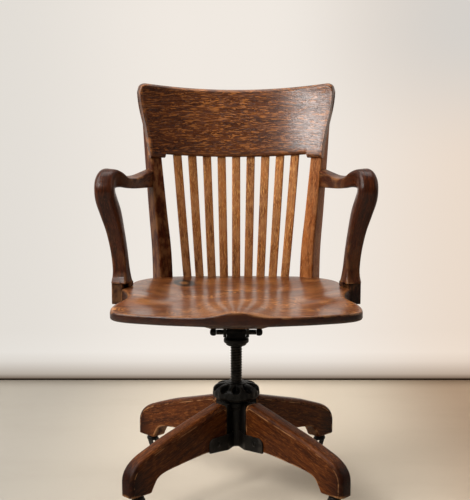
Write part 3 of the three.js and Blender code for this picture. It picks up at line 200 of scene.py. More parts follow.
def lathe(profile, eased, segments, centre=(0, 0, 0), axis="z", bored=False):
    """A solid of revolution, solid or with a bore, from (radius, height) pairs along an axis; its corners are eased."""
    angles = full_turn(segments)
    points, faces = loft([circle(max(r, LATHE_CORE), h, angles) for r, h in round_corners(profile, eased)], bored)
    return points[:, {"x": [2, 0, 1], "y": [0, 2, 1], "z": [0, 1, 2]}[axis]] + vec(*centre), faces


def both_ends(half, end, middle=()):
    """A profile from one end of a wheel or pin to the other; end has radii and how far they lie inside that end."""
    return [(r, h - half) for r, h in end] + [*middle] + [(r, half - h) for r, h in end[::-1]]


def rod(stations):
    """A bar's shape and wood coordinates, over stations: what rounded_ring() takes, and where in the wood it lies.

    Where that lies differs from bar to bar, so that no two show the same grain.
    """
    rings, wood = [], []
    for centre, across, up, *size, shift in stations:
        rings.append(rounded_ring(centre, across, up, *size))
        wood += rounded_ring(vec(*shift), vec(0, 1, 0), vec(0, 0, 1), *size)
    return loft(rings), wood


def joined(*parts):
    points, faces, start = [], [], 0
    for part_points, part_faces in parts:
        points.append(np.asarray(part_points, float))
        faces += [tuple(v + start for v in face) for face in part_faces]
        start += len(part_points)
    return np.concatenate(points), faces


def board(outline, depth, axis="y", middle=0.0):
    """A flat outline of (across, up) pairs, thickened by depth along an axis."""
    across, up = np.asarray(outline, float).T
    rings = []
    for side in (-0.5, 0.5):
        flat = np.full_like(across, middle + side * depth)
        rings.append(np.column_stack({"x": [flat, across, up], "y": [across, flat, up], "z": [across, up, flat]}[axis]))
    return loft(rings)


# Meshes

def mesh_of(name, shape):
    """A closed mesh from points in millimetres about the swivel axis, with its faces turned out."""
    points, faces = shape
    placed = points * MM
    placed[:, 1] += SWIVEL_Y
    mesh = bpy.data.meshes.new(name)
    mesh.from_pydata(placed.tolist(), [], faces)
    tidy = bmesh.new()
    tidy.from_mesh(mesh)
    bmesh.ops.recalc_face_normals(tidy, faces=tidy.faces)
    tidy.to_mesh(mesh)
    tidy.free()
    return mesh


def added(name, data):
    """A new object of the scene."""
    thing = bpy.data.objects.new(name, data)
    bpy.context.scene.collection.objects.link(thing)
    return thing


def store(mesh, name, values):
    """Keeps a number or a vector for each point of a mesh."""
    values = np.asarray(values, np.float32)
    kind, key = ("FLOAT_VECTOR", "vector") if values.ndim == 2 else ("FLOAT", "value")
    mesh.attributes.new(name, kind, "POINT").data.foreach_set(key, values.ravel())


def listed(rows, key, width, kind=float):
    """One value of each row of a mesh's table, as an array of that width."""
    values = np.zeros(len(rows) * width, kind)
    rows.foreach_get(key, values)
    return values.reshape(-1, width)


def bevelled(piece, width):
    modifier = piece.modifiers.new("bevel", "BEVEL")
    modifier.width, modifier.segments, modifier.limit_method = width, 3, "ANGLE"
    modifier.angle_limit, modifier.use_clamp_overlap = math.radians(30), True
    result = bpy.data.meshes.new_from_object(piece.evaluated_get(bpy.context.evaluated_depsgraph_get()))
    piece.modifiers.clear()
    piece.data = result
    frame_flats(result, width / 2)


def build(name, shape, material, body, node, wood=None, bevel=0.0, sharp=40, wear_and_highlight=None, shade=None):
    """Makes one piece of the chair and puts it on its body, in place of its CAD node; body or node may be None.

    wood is a list with the wood coordinates of each point, or a function that works them out; the worn share is how
    much each point shows the worn colour, from 0 to 1, for real wear and for painted highlight lines, besides the wear
    that its edges get; shade is how much it is darkened, mostly as painted shade, as one number, one for each point or
    a function of the points.
    """
    piece = added(name, mesh_of(name, shape))
    if wood is not None and not callable(wood):
        store(piece.data, "wood", np.asarray(wood, float) * MM)
    if bevel:
        bevelled(piece, bevel * MM)
    mesh = piece.data
    own = listed(mesh.vertices, "co", 3) / MM - vec(0, SWIVEL_Y / MM, 0)
    if shade is not None:
        store(mesh, "shade", shade(own) if callable(shade) else np.broadcast_to(shade, len(own)))
    if callable(wood):
        store(mesh, "wood", wood(own) * MM)
    finished(mesh, material, sharp)
    mark_edges(mesh, wear_and_highlight)
    if body:
        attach(piece, body)
    if node:
        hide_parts(node)
    return piece


def finished(mesh, material, sharp=40):
    """Gives a mesh its material, smooth but for edges sharper than an angle."""
    mesh.materials.clear()
    mesh.materials.append(material)
    mesh.shade_smooth()
    mesh.set_sharp_from_angle(angle=math.radians(sharp))


BIG_FACE = 150  # square millimetres from which a face with four sides gets a border too
EDGE_BEND = 300.0  # bend, in radians per metre, that counts as a crisp edge


def frame_flats(mesh, width):
    """Cuts a narrow border into each many-sided or big face, so that what an edge carries stays near that edge."""
    work = bmesh.new()
    work.from_mesh(mesh)
    flats = [face for face in work.faces if len(face.verts) > 4 or face.calc_area() > BIG_FACE * MM * MM]
    bmesh.ops.inset_individual(work, faces=flats, thickness=width, use_even_offset=True)
    work.to_mesh(mesh)
    work.free()


def mark_edges(mesh, wear_and_highlight=None):
    """Stores how strongly each point juts out, for the wear along edges: 0 on a flat face, 1 on a crisp edge; the given
    worn share, which holds painted highlight lines too, is added in.
    """
    co, normals = listed(mesh.vertices, "co", 3), listed(mesh.vertex_normals, "vector", 3)
    a, b = listed(mesh.edges, "vertices", 2, int).T
    along = co[b] - co[a]
    bend = ((normals[b] - normals[a]) * along).sum(1) / np.maximum((along ** 2).sum(1), 1e-12)
    most = np.zeros(len(co))
    np.maximum.at(most, a, bend)
    np.maximum.at(most, b, bend)
    jut = np.clip(most / EDGE_BEND, 0, 1)
    store(mesh, "jut", jut if wear_and_highlight is None else np.maximum(jut, wear_and_highlight))


# Shader nodes

class Value:
    """A node's output, with which one can reckon as with a number."""

    def __init__(self, shader, socket):
        self.shader, self.socket = shader, socket

    def __add__(self, other):
        return self.shader.math("ADD", self, other)

    def __sub__(self, other):
        return self.shader.math("SUBTRACT", self, other)

    def __rsub__(self, other):
        return self.shader.math("SUBTRACT", other, self)

    def __mul__(self, other):
        return self.shader.math("MULTIPLY", self, other)

    def __truediv__(self, other):
        return self.shader.math("DIVIDE", self, other)


class Shader:
    """Adds nodes to a material or world; an input is a number, a colour or another node's Value."""

    def __init__(self, owner):
        self.owner = bpy.data.materials.new(owner) if isinstance(owner, str) else owner
        self.owner.use_nodes = True
        self.tree = self.owner.node_tree
        self.tree.nodes.clear()

    def node(self, kind, inputs, **settings):
        node = self.tree.nodes.new("ShaderNode" + kind)
        for key, value in settings.items():
            setattr(node, key, value)
        for key, value in inputs.items():
            socket = node.inputs[key]
            if isinstance(value, Value):
                self.tree.links.new(value.socket, socket)
            else:
                socket.default_value = (*value, 1) if socket.type == "RGBA" else value
        return node

    def add(self, kind, inputs, output=0, **settings):
        """A new node's output as a Value, or several where output is a tuple of names."""
        outputs = self.node(kind, inputs, **settings).outputs
        if isinstance(output, tuple):
            return [Value(self, outputs[key]) for key in output]
        return Value(self, outputs[output])

    def math(self, operation, *values):
        return self.add("Math", dict(enumerate(values)), operation=operation)

    def length(self, a, b):
        return self.math("SQRT", a * a + b * b)

    def attribute(self, name, output="Fac"):
        return self.add("Attribute", {}, output, attribute_name=name)

    def place(self):
        return self.add("TexCoord", {}, "Object")

    def noise(self, vector, scale, shift=(0, 0, 0), detail=3.0, roughness=0.55):
        vector = self.add("Mapping", {"Vector": vector, "Scale": scale, "Location": shift})
        return self.add("TexNoise", {"Vector": vector, "Scale": 1.0, "Detail": detail, "Roughness": roughness})

    def ramp(self, value, *stops):
        node = self.node("ValToRGB", {"Fac": value})
        elements = node.color_ramp.elements
        while len(elements) < len(stops):
            elements.new(0.5)
        for element, (place, colour) in zip(elements, stops):
            element.position, element.color = place, (*colour, 1)
        return Value(self, node.outputs[0])

    def span(self, value, start, end, kind="LINEAR"):
        """The share of the way from start to end, kept between 0 and 1."""
        ends = {"Value": value, "From Min": start, "From Max": end}
        return self.add("MapRange", ends, "Result", interpolation_type=kind)

    def step(self, value, start, end):
        """0 below start, 1 above end, smooth between."""
        return self.span(value, start, end, "SMOOTHSTEP")

    def mix(self, share, a, b, blend="MIX"):
        return self.add("Mix", {0: share, 6: a, 7: b}, 2, data_type="RGBA", blend_type=blend)

    def times(self, colour, tint):
        return self.mix(1.0, colour, tint, "MULTIPLY")

    def tinted(self, share, colour, tint):
        """A colour multiplied by a tint, as far as share says."""
        return self.mix(share, colour, self.times(colour, tint))

    def moved(self, vector, y, z):
        shift = self.add("CombineXYZ", {"Y": y, "Z": z})
        return self.add("VectorMath", {0: vector, 1: shift}, operation="ADD")

    def split(self, vector):
        return self.add("SeparateXYZ", {"Vector": vector}, ("X", "Y", "Z"))

    def bump(self, height, strength, distance):
        return self.add("Bump", {"Strength": strength, "Distance": distance, "Height": height})

    def surface(self, one_sided=False, **inputs):
        named = {key.replace("_", " "): value for key, value in inputs.items()}
        return self.finish(self.add("BsdfPrincipled", named), one_sided)

    def finish(self, shader, one_sided=False, output="OutputMaterial"):
        """Sends a shader to the output; a one-sided surface is clear when looked at from its back."""
        if one_sided:
            shader = self.blend(self.add("NewGeometry", {}, "Backfacing"), shader, self.add("BsdfTransparent", {}))
        self.node(output, {0: shader})
        return self.owner

    def blend(self, share, a, b):
        return self.add("MixShader", {0: share, 1: a, 2: b})

    def looked_at(self, sheen=1.0):
        """1 for rays from the camera or through glass, sheen for what shines back from a surface, 0 for others."""
        camera, glass, glossy = self.add("LightPath", {}, ("Is Camera Ray", "Is Transmission Ray", "Is Glossy Ray"))
        return self.math("MAXIMUM", self.math("MAXIMUM", camera, glass), glossy * sheen)


def srgb(r, g, b):
    """A colour as a screen shows it, 0 to 255, as linear values."""
    return tuple((v / 255 / 12.92) if v / 255 <= 0.04045 else ((v / 255 + 0.055) / 1.055) ** 2.4 for v in (r, g, b))


SHADE_TINT = (0.17, 0.095, 0.05)  # what the shade attribute leaves of a colour: painted shade, and the toes' darker ends


def oak(name, dark, mid, light, flecks=0.6, rings=None, rough=0.3, bump=0.25, worn=(168, 116, 72), wear=0.5,
        coat=0.1, knot=None, shine=0.4, sway=0.012, dash=(70, 560), coat_rough=0.2):
    """Varnished oak with wavy grain, open pores and the pale flecks of quarter-sawn wood.

    rings, where given, is the spacing of growth rings that a flat-sawn and carved board shows as contours; sway is
    how far the grain wanders, in metres, and dash how often its flecks come along and across it, per metre; a knot
    has its place along and across the grain and its half length.
    """
    s = Shader(name)
    wood = s.attribute("wood", "Vector")
    drift = (s.noise(wood, (9, 24, 24), detail=2) - 0.5) * sway
    flow = s.moved(wood, drift, drift)
    if knot is not None:
        along, across, size = (v * MM for v in knot)
        u, v, w = s.split(wood)
        dv = v - across
        du = (u - along - dv * 0.35) / size
        dv = (dv + du * (0.35 * size)) / (size * 0.8)
        reach = s.length(du, dv)
        flow = s.moved(flow, 0.0, s.math("EXPONENT", reach * reach * -0.3) * (size * 0.4))
    # Broad bands, fine streaks and fibres
    streak = s.noise(flow, (6, 110, 110), detail=6, roughness=0.68)
    fibre = s.noise(flow, (45, 900, 900), (2.1, 0.4, 0.8), roughness=0.6)
    patch = s.noise(wood, (4, 11, 11), (3.1, 1.7, 0.4), detail=2)
    colour = s.mix(s.step(streak * 0.75 + fibre * 0.25, 0.4, 0.62), srgb(*dark), srgb(*mid))
    colour = s.mix(s.step(patch, 0.4, 0.75) * 0.3, colour, srgb(*mid))
    # Ray flecks: short wavy dashes
    wave = (s.noise(flow, (45, 90, 90), (0.2, 0.9, 0.5), detail=2) - 0.5) * 0.007
    dashes = s.noise(s.moved(flow, wave, wave), (dash[0], dash[1], dash[1]), (0.7, 0.1, 0.3))
    rays = s.step(dashes, 0.5, 0.64) * flecks
    if rings:
        u, v, w = s.split(flow)
        wander = s.noise(wood, (7, 11, 11), (0.3, 2.2, 1.0), roughness=0.45) * 0.009
        saw = s.math("FRACT", (s.length(w + 0.055, v * 0.11) + wander) / (rings * MM))
        line = s.step(saw, 0.35, 0.75) * (1.0 - s.step(saw, 0.85, 1.0))
        broken = s.step(s.noise(flow, (14, 26, 26), (1.3, 0.2, 0.9)), 0.42, 0.66)
        rays = s.math("MAXIMUM", rays * 0.3, line * (broken * flecks))
    colour = s.mix(rays * (patch * 0.9 + 0.45), colour, srgb(*light))
    # Open pores: fine dark dashes
    pores = s.step(s.noise(flow, (80, 1100, 1100), (5.0, 0.6, 0.2), detail=2), 0.55, 0.68)
    colour = s.mix(pores * 0.5, colour, srgb(*(v * 0.45 for v in dark)))
    if knot is not None:
        colour = s.mix((1.0 - s.step(reach, 0.75, 1.05)) * 0.93, colour, srgb(22, 13, 8))
        colour = s.mix((1.0 - s.step(reach, 0.2, 0.5)) * 0.65, colour, srgb(140, 92, 46))
    # Painted shade where the shade attribute asks for it, and the worn colour on the edges, which on some pieces also
    # paints highlight lines
    colour = s.tinted(s.attribute("shade"), colour, SHADE_TINT)
    jut = s.attribute("jut")
    worn_and_highlighted = s.step(jut, 0.3, 0.9) * s.step(s.noise(wood, (30, 60, 60), (2.0, 0.0, 1.0), detail=4), 0.4, 0.62)
    colour = s.mix(worn_and_highlighted * wear, colour, srgb(*worn))
    normal = s.bump(streak * 0.3 + dashes * 0.35 - pores * 0.9, bump, 0.0006)
    gloss = s.noise(wood, (20, 34, 34), (0.5, 0.5, 4.0), detail=4) * 0.16 + (rough - 0.08) + (pores * 0.15 + jut * 0.3)
    return s.surface(Base_Color=colour, Roughness=gloss, Normal=normal, Specular_IOR_Level=shine, Coat_Weight=coat,
                     Coat_Roughness=coat_rough)


def iron(name, colour, rough, metallic=0.0, grain=1.0, worn=(70, 64, 58), wear=0.35):
    """Cast or forged iron under worn black paint: a fine pitted skin, lighter in patches, and bare edges."""
    s = Shader(name)
    place = s.place()
    pits = s.noise(place, (420, 420, 420), detail=4, roughness=0.65)
    lumps = s.noise(place, (60, 60, 60), (1, 2, 3))
    shade = s.mix(s.step(lumps, 0.35, 0.7), srgb(*(v * 0.75 for v in colour)), srgb(*(v * 1.25 for v in colour)))
    shade = s.mix(s.step(s.attribute("jut"), 0.4, 1.0) * s.step(lumps, 0.35, 0.6) * wear, shade, srgb(*worn))
    normal = s.bump(pits * 0.6 + lumps, 0.25 * grain, 0.0008)
    return s.surface(Base_Color=shade, Roughness=pits * 0.3 + (rough - 0.15), Normal=normal, Metallic=metallic,
                     Specular_IOR_Level=0.15)


# The crest's worn colour and wear also paint a golden highlight along its rims
CREST_OAK = oak("crest_oak", (54, 25, 9), (98, 52, 22), (178, 110, 52), flecks=0.75, rough=0.22, coat=0.25,
                shine=0.3, bump=0.35, sway=0.026, dash=(42, 380), worn=(176, 112, 60), wear=0.75)
SLAT_OAK = oak("slat_oak", (108, 56, 21), (188, 116, 55), (238, 178, 104), flecks=0.75, shine=0.2, coat=0.0)
POST_OAK = oak("post_oak", (100, 50, 21), (166, 96, 46), (214, 146, 84), flecks=0.45, shine=0.1, coat=0.0)
ARM_OAK = oak("arm_oak", (36, 14, 5), (68, 29, 11), (104, 52, 22), flecks=0.45, rough=0.24, shine=0.1, coat=0.2)
SEAT_OAK = oak("seat_oak", (70, 33, 13), (112, 60, 27), (198, 132, 70), flecks=0.85, rings=0.5, sway=0.006,
               coat=0.46, coat_rough=0.23, shine=0.13, knot=(-124, 168, 31))
BLOCK_OAK = oak("block_oak", (42, 24, 14), (62, 36, 20), (86, 52, 30), flecks=0.3, rough=0.45)
# The legs' worn colour and wear also paint the pale highlight line below their top edges
LEG_OAK = oak("leg_oak", (56, 25, 9), (98, 50, 20), (146, 84, 38), flecks=0.55, shine=0.1, coat=0.0,
              worn=(196, 140, 92), wear=0.85, sway=0.02, dash=(50, 420))
BLACK_IRON = iron("black_iron", (18, 15, 12), 0.5)
WHEEL_IRON = iron("wheel_iron", (15, 13, 10), 0.45, worn=(52, 46, 40))
DARK_STEEL = iron("dark_steel", (34, 31, 28), 0.4, metallic=0.7, grain=0.4)
CASTER_IRON = iron("caster_iron", (14, 12, 11), 0.5, worn=(60, 54, 48))


# Seat

SEAT_FRONT_SHARES = [
    [0, 0], [0.226, 0.011], [0.414, 0.031], [0.564, 0.048], [0.714, 0.073], [0.846, 0.099], [0.94, 0.13],
    [0.989, 0.165], [1, 0.2], [0.998, 0.24], [0.975, 0.284], [0.931, 0.327], [0.9, 0.371], [0.9, 0.433],
    [0.92, 0.499], [0.953, 0.558], [0.974, 0.591],
]
SEAT_BACK_SHARES = [
    [0.925, 0.69], [0.921, 0.745], [0.902, 0.807], [0.857, 0.866], [0.778, 0.921], [0.677, 0.958], [0.556, 0.978],
    [0.301, 0.993], [0, 1],
]
SEAT_HALF, SEAT_FRONT, SEAT_LENGTH = 266, 219, 455
DISH_DEPTH, FRONT_FALL, POMMEL_WIDTH = 15, 13, 50
# The third value is how strongly the front's top edge shows the worn colour, as wear and as a painted highlight line
SEAT_TOP_ROUND, SEAT_UNDER_ROUND, SEAT_EDGE_WEAR_AND_HIGHLIGHT = 5, 7, 0.75
FRONT_EDGE_STEPS, BACK_EDGE_STEPS = 120, 60


def seat_place(shares):
    return shares * vec(SEAT_HALF, SEAT_LENGTH) - vec(0, SEAT_FRONT)


def seat_height(x, y, share):
    front = ease(0.1 * SEAT_FRONT, 0.68 * SEAT_FRONT, -y)
    pommel = np.exp(-((x / POMMEL_WIDTH) ** 2))
    ridge = pommel * ease(-0.05 * SEAT_FRONT, SEAT_FRONT, -y)
    fall = FRONT_FALL * front * (1 - pommel)
    bowl = DISH_DEPTH * (1 - ridge)
    inside = ease(0.97, 0.5, share)
    return SEAT_TOP - lerp(fall, np.maximum(bowl, fall), inside)


SHOE_FRONT = seat_place(vec(*SEAT_FRONT_SHARES[-1]))
SHOE_BACK = seat_place(vec(*SEAT_BACK_SHARES[0]))


def seat():
    """The seat's shape, how much painted shade darkens each point, and how much each point shows the worn colour, as
    wear and as a painted highlight line.
    """
    front = seat_place(read_table(SEAT_FRONT_SHARES, np.linspace(0, 1, FRONT_EDGE_STEPS + 1)))
    back = seat_place(read_table(SEAT_BACK_SHARES, np.linspace(0, 1, BACK_EDGE_STEPS + 1)))
    side = np.array([lerp(SHOE_FRONT, SHOE_BACK, t) for t in np.linspace(0, 1, 12)[1:-1]])
    right = np.concatenate([front, side, back])
    outline = np.concatenate([right, right[1:-1][::-1] * vec(-1, 1)])
    reach = np.linalg.norm(outline, axis=1)[:, None]
    plain = np.zeros(len(outline))
    rim = seat_height(*outline.T, 1.0)
    low_edge = SEAT_BOTTOM + SEAT_UNDER_ROUND
    rings, shades, wear_and_highlight = [], [], []

    def ring(plan, height, shade=1.0, worn_and_highlighted=0.0):
        rings.append(np.column_stack([plan, plain + height]))
        shades.append(plain + shade)
        wear_and_highlight.append(plain + worn_and_highlighted)

    # Painted shade on the top, growing towards the back
    for share in np.concatenate([np.linspace(0.03, 0.9, 26), np.linspace(0.92, 0.98, 5)]):
        p = outline * share
        ring(p, seat_height(*p.T, share), 0.3 * ease(100, 230, p[:, 1]))
    # Painted shade growing down the top rounding; the front's top edge worn and painted with a pale highlight line
    for angle in QUARTER:
        inset, drop = SEAT_TOP_ROUND * (1 - math.sin(angle)), SEAT_TOP_ROUND * (1 - math.cos(angle))
        worn_and_highlighted = SEAT_EDGE_WEAR_AND_HIGHLIGHT * math.exp(-(((angle - 0.4) / 0.25) ** 2)) * ease(40, -100, outline[:, 1])
        ring(outline * (1 - inset / reach), rim - drop, ease(0.35, 1.1, angle), worn_and_highlighted)
    # Side faces and underside in full painted shade
    for share in (0.33, 0.66):
        ring(outline, lerp(rim - SEAT_TOP_ROUND, low_edge, share))
    for angle in QUARTER:
        inset, drop = SEAT_UNDER_ROUND * (1 - math.cos(angle)), SEAT_UNDER_ROUND * math.sin(angle)
        ring(outline * (1 - inset / reach), low_edge - drop)
    ring(outline * 0.5, SEAT_BOTTOM)
    return loft(rings), np.concatenate(shades), np.concatenate(wear_and_highlight)


def seat_wood(p):
    return np.column_stack([p[:, 0], p[:, 1], p[:, 2] - SEAT_TOP])


shape, shade, wear_and_highlight = seat()
build("seat_board", shape, SEAT_OAK, "upper", "seat", wood=seat_wood, sharp=50, shade=shade, wear_and_highlight=wear_and_highlight)


# Back: lean, curve, slats, posts and crest rail

BACK_SET = 219
BACK_RAKE = 84
BACK_HEIGHT = CREST_BOTTOM - SEAT_TOP
RAKE_SHARES = [[0], [0.06], [0.17], [0.33], [0.53], [0.76], [1]]
BACK_CURVE_LOW, BACK_CURVE_HIGH = 1400, 520


def back_lean(z):
    t = np.clip((np.asarray(z, float) - SEAT_TOP) / (BACK_TOP - SEAT_TOP), 0, 1)
    return BACK_SET + BACK_RAKE * read_table(RAKE_SHARES, t)[:, 0]


def back_curve(z):
    t = np.clip((np.asarray(z, float) - SEAT_TOP) / BACK_HEIGHT, 0, 1)
    return lerp(1 / BACK_CURVE_LOW, 1 / BACK_CURVE_HIGH, t)


def back_face(x, z):
    return back_lean(z) - x * x * back_curve(z) / 2


def back_angle(x, z):
    return -np.arctan(x * back_curve(z))


SLAT_COUNT = 9
SLAT_WIDTH, SLAT_THICKNESS, SLAT_EDGE = 20, 10, 1.8
SLAT_PITCH_LOW, SLAT_PITCH_HIGH = 29.31, 35
SLAT_TENON_LOW, SLAT_TENON_HIGH = 12, 16
SLAT_STATIONS, POST_STATIONS, ARM_STATIONS = 31, 57, 151  # rings along each bar


def slat(number):
    stations = []
    for z in np.linspace(SEAT_TOP - SLAT_TENON_LOW, CREST_BOTTOM + SLAT_TENON_HIGH, SLAT_STATIONS):
        x = number * lerp(SLAT_PITCH_LOW, SLAT_PITCH_HIGH, (z - SEAT_TOP) / BACK_HEIGHT)
        angle = float(back_angle(x, z))
        across, back = vec(math.cos(angle), math.sin(angle), 0), vec(-math.sin(angle), math.cos(angle), 0)
        centre = vec(x, back_face(x, z)[0], z) + back * SLAT_THICKNESS / 2
        wood = (z, 63 * number, 17 * number)
        stations.append((centre, across, back, SLAT_WIDTH / 2, SLAT_THICKNESS / 2, SLAT_EDGE, 3, wood))
    return rod(stations)


# Painted shade on each slat, from left to right
SLAT_SHADES = [0.55, 0.5, 0.45, 0.35, 0.2, 0.2, 0.1, 0.05, 0.0]


def slat_shade(k):
    """Painted shade, more on the left-hand slats and on all of them near the seat."""
    return lambda p: SLAT_SHADES[k] + 0.2 * ease(SEAT_TOP + 110, SEAT_TOP, p[:, 2])


for k in range(SLAT_COUNT):
    shape, wood = slat(k - (SLAT_COUNT - 1) / 2)
    build(f"slat_{k + 1}", shape, SLAT_OAK, "upper", f"back_slat_{k + 1}", wood=wood, shade=slat_shade(k))

POST_SHARES = [
    [0, 0, 24, 1, 1], [0.07, 0, 24, 1, 1], [0.22, 0.07, 24, 0.98, 0.96], [0.4, 0.27, 24, 0.93, 0.9],
    [0.58, 0.46, 24, 0.88, 0.84], [0.72, 0.62, 24, 0.85, 0.77], [0.87, 0.83, 24, 0.82, 0.62], [1, 1, 24, 0.82, 0.54],
]
POST_WIDTH, POST_DEPTH, POST_EDGE = 33, 56, 4
POST_SPREAD_LOW, POST_SPREAD_HIGH = 167, 208
POST_BOTTOM, POST_TOP = SEAT_BOTTOM, CREST_BOTTOM + 150


def post(side):
    stations = []
    for rise, spread, turn, width, depth in read_table(POST_SHARES, np.linspace(0, 1, POST_STATIONS)):
        z = lerp(POST_BOTTOM, POST_TOP, rise)
        x = lerp(POST_SPREAD_LOW, POST_SPREAD_HIGH, spread)
        c, s = math.cos(math.radians(turn)), math.sin(math.radians(turn))
        across, back = vec(side * c, -s, 0), vec(side * s, c, 0)
        half = POST_DEPTH * depth / 2
        centre = vec(side * x, back_face(x, z)[0], z) + back * half
        wood = (z, 210 * side, 90 * side)
        stations.append((centre, across, back, POST_WIDTH * width / 2, half, POST_EDGE, wood))
    return rod(stations)


CREST_THICKNESS, CREST_PROUD = 23.8, 9
CREST_TOP_WIDTH, CREST_FOOT_WIDTH, CREST_NOTCH_WIDTH = 464, 410, 340
CREST_STEP, CREST_BOW, CREST_HORN, CREST_HORN_POWER = 8, 8, 17.6, 2
CREST_ROUND, CREST_CORNER = 9, 16


def crest():
    notch = CREST_NOTCH_WIDTH / CREST_FOOT_WIDTH
    side = np.unique(np.concatenate([
        np.linspace(0, 0.8, 44), np.linspace(notch - 0.012, notch + 0.006, 9), np.linspace(0.85, 0.93, 8),
        1 - (1 - 0.93) * np.cos(np.linspace(0, math.pi / 2, 14)[::-1]),
    ]))
    shares = np.concatenate([-side[1:][::-1], side])
    front, back, r = -CREST_PROUD, CREST_THICKNESS - CREST_PROUD, CREST_ROUND
    inner = np.linspace(0, 1, 14)[1:-1]
    # Rims in the worn colour, as wear and as a painted golden highlight: most on the top front, less on the bottom
    # front, and on the ends
    corner_wear_and_highlight, none, flat = np.sin(2 * QUARTER), 0 * QUARTER, 0 * inner
    edge_wear_and_highlight = np.concatenate([0.45 * corner_wear_and_highlight, none, flat, none, 0.7 * corner_wear_and_highlight, flat])
    rings, wear_and_highlight = [], []
    for c in shares:
        a = abs(c)
        corner_x = np.clip(a * CREST_TOP_WIDTH / 2 - (CREST_TOP_WIDTH / 2 - CREST_CORNER), 0, CREST_CORNER)
        corner = CREST_CORNER - math.sqrt(CREST_CORNER ** 2 - corner_x ** 2)
        step = float(ease(notch - 0.01, notch + 0.004, a))
        bow = CREST_BOW * min(a / notch, 1) ** 2
        low_edge = CREST_BOTTOM + lerp(bow, CREST_BOW - CREST_STEP, step)
        high_edge = CREST_BOTTOM + CREST_HEIGHT + CREST_HORN * a ** CREST_HORN_POWER - corner
        section = arc(front + r, low_edge + r, r, 1, 1.5, 7) + arc(back - r, low_edge + r, r, 1.5, 2, 7)
        section += [vec(back, lerp(low_edge + r, high_edge - r, t)) for t in inner]
        section += arc(back - r, high_edge - r, r, 0, 0.5, 7) + arc(front + r, high_edge - r, r, 0.5, 1, 7)
        section += [vec(front, lerp(high_edge - r, low_edge + r, t)) for t in inner]
        depth, z = np.array(section).T
        rise = ease(CREST_BOTTOM, BACK_TOP, z)
        x = c * lerp(CREST_FOOT_WIDTH, CREST_TOP_WIDTH, rise) / 2
        angle = back_angle(x, z)
        rings.append(np.column_stack([x - np.sin(angle) * depth, back_face(x, z) + np.cos(angle) * depth, z]))
        wear_and_highlight.append(np.maximum(edge_wear_and_highlight, 0.6 * ease(0.955, 0.99, a) * ease(1.0, 0.99, a)))
    return loft(rings), np.concatenate(wear_and_highlight)


def crest_wood(p):
    return np.column_stack([p[:, 0], p[:, 2], p[:, 1] - back_face(p[:, 0], p[:, 2])])


shape, wear_and_highlight = crest()
# Painted shade: darker towards the left end and towards the bottom edge
build("crest_board", shape, CREST_OAK, "upper", "crest_rail", wood=crest_wood, sharp=50, wear_and_highlight=wear_and_highlight,
      shade=lambda p: 0.55 * ease(-40, -200, p[:, 0]) + 0.2 * ease(CREST_BOTTOM + 90, CREST_BOTTOM, p[:, 2]))


# Arms

ARM_SHARES = [
    [0, 0.284, 0, 0.86, 0.92, 0, 16, 0, 0.25], [0, 0.284, 0.044, 0.86, 0.92, 0, 16, 0, 0.25],
    [0.01, 0.29, 0.07, 0.84, 0.86, 0, 14, 0, 0.28], [0.02, 0.299, 0.105, 0.8, 0.79, -2, 12, 0, 0.32],
    [0.06, 0.306, 0.17, 0.77, 0.74, -2, 9, 0, 0.34], [0.18, 0.302, 0.31, 0.8, 0.75, -7, 5, 0, 0.34],
    [0.4, 0.268, 0.48, 0.88, 0.8, -14, 3, 0, 0.36], [0.64, 0.22, 0.617, 1.02, 0.88, -19, 2, 0, 0.42],
    [0.9, 0.17, 0.735, 1.08, 0.96, -14, 1, 0, 0.52], [0.99, 0.14, 0.81, 1.06, 1.02, 5, 0, 0, 0.62],
    [0.97, 0.165, 0.87, 1.04, 1, 40, 2, 0, 0.66], [0.76, 0.225, 0.908, 1.04, 0.92, 72, 8, 3, 0.62],
    [0.42, 0.32, 0.905, 1, 0.72, 92, 20, 10, 0.5], [0.02, 0.44, 0.875, 0.9, 0.5, 99, 23, 15, 0.42],
    [-0.37, 0.58, 0.857, 0.81, 0.48, 93, 20, 13, 0.36], [-0.76, 0.72, 0.85, 0.74, 0.54, 89, 23, 8, 0.32],
    [-1.24, 0.86, 0.856, 0.67, 0.7, 86, 27, 3, 0.3], [-1.77, 1, 0.865, 0.62, 0.88, 88, 28, 0, 0.28],
]
ARM_RISE, ARM_RUN, ARM_SPLAY, ARM_WIDTH, ARM_DEPTH = 274, 224, 32, 41.9, 50
STUMP_WIDTH, STUMP_SHOE, STUMP_SHOE_SETBACK, STUMP_LEDGE = 36, 26, 3, 12
STUMP_SHOE_DROP, STUMP_SEATING = 4, 10
FIT = 0.3
SHOE_RUN = SHOE_BACK - SHOE_FRONT
SHOE_LENGTH = np.linalg.norm(SHOE_RUN)
SHOE_ALONG = SHOE_RUN / SHOE_LENGTH
SHOE_OUT = vec(SHOE_ALONG[1], -SHOE_ALONG[0])
ARM_FOOT_X = (SHOE_FRONT[0] + SHOE_BACK[0]) / 2 + FIT + STUMP_SHOE - STUMP_WIDTH / 2
ARM_FRONT_Y = SHOE_FRONT[1] - ARM_RUN * ARM_SHARES[0][1] + ARM_DEPTH * ARM_SHARES[0][4] / 2


